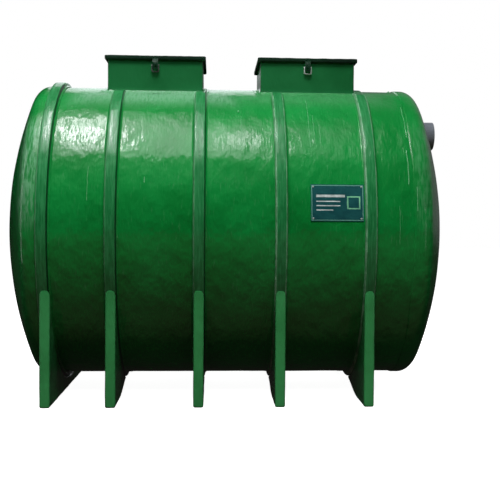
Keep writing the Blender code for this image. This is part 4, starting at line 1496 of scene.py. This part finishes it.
def run_tree():
    tree, sockets, given = new_tree("lay_resin_run", {
        "Place": "Float", "Start": "Float", "Sweep": "Float", "Radius": "Float", "Axis Height": "Float",
        "Width": "Float", "Wander": "Float", "Seed": "Int", "Finish": "Material"})
    line = feed(tree, "GeometryNodeMeshLine", {"Count": RUN_POINTS, "Offset": (0.01, 0.0, 0.0)})
    path = feed(tree, "GeometryNodeMeshToCurve", {0: line})
    share = add_node(tree, "GeometryNodeSplineParameter").outputs["Factor"]
    angle = compute(tree, "ADD", given["Start"], times(tree, given["Sweep"], share))
    travel = merge(tree, 0.0, 0.0, times(tree, angle, DRIFT_PACE))
    drift = feed(tree, "ShaderNodeTexNoise", {"Vector": travel, "W": given["Seed"], "Scale": 1.0},
                 noise_dimensions="4D", normalize=False)
    aside = compute(tree, "ADD", given["Place"], times(tree, drift, given["Wander"]))
    forward = times(tree, given["Radius"], compute(tree, "SINE", angle))
    rise = times(tree, given["Radius"], compute(tree, "COSINE", angle))
    spot = merge(tree, aside, times(tree, forward, -1.0),
                 compute(tree, "ADD", given["Axis Height"], rise))
    laid = feed(tree, "GeometryNodeSetPosition", {0: path, "Position": spot})
    swell = compute(tree, "ADD", 0.75, times(tree, drift, 0.45))
    taper = times(tree, ramp(tree, share, 0.0, 0.15, 0.15, 1.0), ramp(tree, share, 0.93, 1.0, 1.0, 0.15))
    thick = compute(tree, "MAXIMUM", times(tree, swell, taper), LEAST_WIDTH)
    laid = feed(tree, "GeometryNodeSetCurveRadius", {0: laid, "Radius": thick})
    ring = feed(tree, "GeometryNodeCurvePrimitiveCircle",
                {"Resolution": THREAD_SIDES, "Radius": given["Width"]})
    thread = feed(tree, "GeometryNodeCurveToMesh",
                  {"Curve": laid, "Profile Curve": ring, "Fill Caps": True})
    end_tree(tree, thread, given)
    return tree, sockets


lay_run, run_sockets = run_tree()
print("run tree inputs:", list(run_sockets))

# %% [markdown]
# ### Lay the runs
# A dozen runs are laid on the front, most of them on the right half. Nine are long threads, one of
# them on the right end's skirt, and three are short drops. Two of the drops are pale lumps whose
# colour is a painted highlight for glints. Each run is a row of a table and one call of the tree.

# %% Resin runs
def join_pieces(name, pieces):
    """Join several plain meshes into the first one."""
    with bpy.context.temp_override(active_object=pieces[0], selected_editable_objects=pieces):
        bpy.ops.object.join()
    pieces[0].name = name
    pieces[0].data.name = name
    return pieces[0]


resin_and_glint_finish = plain_noise_finish("cured_resin", (0.060, 0.340, 0.120), (0.180, 0.470, 0.240),
                           scale=60.0, roughness=0.25, distance=0.0005)
# The short drops at 70 and 37 degrees are pale lumps: their colour is a painted highlight for glints
# Runs as (place along the axis, first angle from the top, sweep, half width, wander, how proud)
RUNS = ((0.921, 33.0, 19.0, 0.0017, 0.003, 0.0), (0.911, 58.0, 14.0, 0.0024, 0.004, 0.0),
        (0.950, 73.0, 9.0, 0.0018, 0.002, SKIRT_WALL), (0.417, 27.0, 30.0, 0.0015, 0.003, 0.0),
        (0.441, 40.0, 16.0, 0.0012, 0.003, 0.0), (0.066, 41.0, 19.0, 0.0013, 0.002, 0.0),
        (-0.42, 70.0, 2.2, 0.0030, 0.002, 0.0), (0.052, 37.0, 1.6, 0.0028, 0.001, 0.0),
        (0.919, 3.0, 2.4, 0.0060, 0.001, 0.0), (0.470, 45.0, 10.0, 0.0012, 0.003, 0.0),
        (-0.700, 66.0, 13.0, 0.0013, 0.003, 0.0), (0.860, 80.0, 14.0, 0.0012, 0.003, 0.0))
threads = [grow(f"run_{seed}", lay_run, run_sockets, {
    "Place": x, "Start": math.radians(first), "Sweep": math.radians(length), "Radius": RADIUS + proud,
    "Axis Height": AXIS_Z, "Width": width, "Wander": wander, "Seed": seed, "Finish": resin_and_glint_finish})
    for seed, (x, first, length, width, wander, proud) in enumerate(RUNS)]
dress(join_pieces("resin_runs", threads), "tank", "laminate")

# %% [markdown]
# ## Screws and rivets
# The sign is held by a pan-head screw at each corner, the hinge plates by hexagon heads on
# washers, and the strap by rivets. One tree sets a given head on every point of a small mesh and
# turns it to the point's own outward direction. Heads on the same body are joined to one piece.

# %% Heads
def turned_head(name, profile, count):
    """A head turned about Z, from (radius, height) points that start and end on the axis."""
    rings = [[(y, z, x) for x, y, z in turned_ring(h, r, count, 0.0)] for r, h in profile]
    return make_piece(name, join_rings(rings, False), zinc, 40.0)


def fastener_tree():
    tree, sockets, given = new_tree("set_heads", {"Points": "Object", "Head": "Object", "Finish": "Material"})
    points, head = [feed(tree, "GeometryNodeObjectInfo", {"Object": given[label]}, "Geometry")
                    for label in ("Points", "Head")]
    outward = feed(tree, "GeometryNodeInputNamedAttribute", {"Name": "outward"}, "Attribute",
                   data_type="FLOAT_VECTOR")
    facing = feed(tree, "FunctionNodeAlignRotationToVector", {"Vector": outward}, axis="Z")
    placed = feed(tree, "GeometryNodeInstanceOnPoints",
                  {"Points": points, "Instance": head, "Rotation": facing})
    end_tree(tree, placed, given)
    return tree, sockets


set_heads, head_sockets = fastener_tree()
pan_head = turned_head("pan_head", (
    (0.0, -0.0010), (0.0044, -0.0010), (0.0046, 0.0002), (0.0040, 0.0012), (0.0026, 0.0019),
    (0.0010, 0.0021), (0.0, 0.0021)), 20)
rivet_head = turned_head("rivet_head", (
    (0.0, -0.0008), (0.0036, -0.0008), (0.0036, 0.0002), (0.0029, 0.0012), (0.0015, 0.0018),
    (0.0, 0.0020)), 18)
hex_head = turned_head("hex_head", (
    (0.0, -0.0005), (0.0062, -0.0005), (0.0062, 0.0008), (0.0047, 0.0009), (0.0047, 0.0036),
    (0.0040, 0.0042), (0.0, 0.0042)), 6)
print("heads:", {head.name: len(head.data.polygons) for head in (pan_head, rivet_head, hex_head)})

# %% [markdown]
# ### Set the heads
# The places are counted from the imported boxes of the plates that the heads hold, so a head never
# floats. A rivet is painted over with its strap, and the other heads are bare zinc. The three
# patterns are thrown away at the end, because only their copies are part of the dressed object.

# %% Screws and rivets
def set_on(name, spots, head, finish):
    """Set a head on each (place, outward direction) and return one plain mesh."""
    mesh = bpy.data.meshes.new("spots")
    mesh.from_pydata([spot for spot, _ in spots], [], [])
    marks = mesh.attributes.new("outward", "FLOAT_VECTOR", "POINT")
    for mark, (_, out) in zip(marks.data, spots):
        mark.vector = out
    holder = put("spots", mesh)
    piece = grow(name, set_heads, head_sockets, {"Points": holder, "Head": head, "Finish": finish})
    bpy.data.objects.remove(holder, do_unlink=True)
    return piece


SCREW_TURN, SCREW_INSET = 0.016, 0.013
PLATE_FACE = NECK_HALF + 0.0033
# Heads on a hinge leaf as (across, from its front), up a bracket's plate, and across a strap
LEAF_HEADS = ((-0.018, 0.014), (0.018, 0.014), (0.0, 0.036))
PLATE_HEADS, STRAP_HEADS = (0.008, 0.028), (-0.008, 0.008)
STRAP_FRONT, STRAP_DROP = 0.004, 0.008
UP, FORWARD, BACK = Vector((0.0, 0.0, 1.0)), Vector((0.0, -1.0, 0.0)), Vector((0.0, 1.0, 0.0))

sign_spots = []
for across in (-1.0, 1.0):
    for angle in (SIGN_ANGLES[0] + SCREW_TURN, SIGN_ANGLES[1] - SCREW_TURN):
        out = Vector((0.0, -math.cos(angle), math.sin(angle)))
        middle = Vector((SIGN_MIDDLE + across * (SIGN_HALF - SCREW_INSET), 0.0, AXIS_Z))
        sign_spots.append((middle + out * SIGN_OUTER, out))
tank_heads = [set_on("sign_screws", sign_spots, pan_head, zinc)]
for side in SIDES:
    leaf_spots, strap_spots, plate_spots = [], [], []
    for number in (1, 2):
        low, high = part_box(f"hinge_leaf_{side}_{number}")
        middle_x = (low.x + high.x) / 2.0
        leaf_spots += [(Vector((middle_x + across, low.y + back, high.z)), UP)
                       for across, back in LEAF_HEADS]
        low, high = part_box(f"hinge_bracket_{side}_{number}")
        middle_x = (low.x + high.x) / 2.0
        plate_spots += [(Vector((middle_x, PLATE_FACE, low.z + rise)), BACK) for rise in PLATE_HEADS]
    low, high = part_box(f"strap_{side}")
    middle_x = (low.x + high.x) / 2.0
    strap_spots += [(Vector((middle_x + across, high.y - STRAP_FRONT, high.z - STRAP_DROP)), FORWARD)
                    for across in STRAP_HEADS]
    tank_heads.append(set_on(f"plate_bolts_{side}", plate_spots, hex_head, zinc))
    lid_heads = [set_on(f"leaf_bolts_{side}", leaf_spots, hex_head, zinc),
                 set_on(f"strap_rivets_{side}", strap_spots, rivet_head, dark_paint)]
    dress(join_pieces(f"lid_fasteners_{side}", lid_heads), f"{side}_cover", "bright_steel")
dress(join_pieces("tank_fasteners", tank_heads), "tank", "bright_steel")
for head in (pan_head, rivet_head, hex_head):
    bpy.data.objects.remove(head, do_unlink=True)
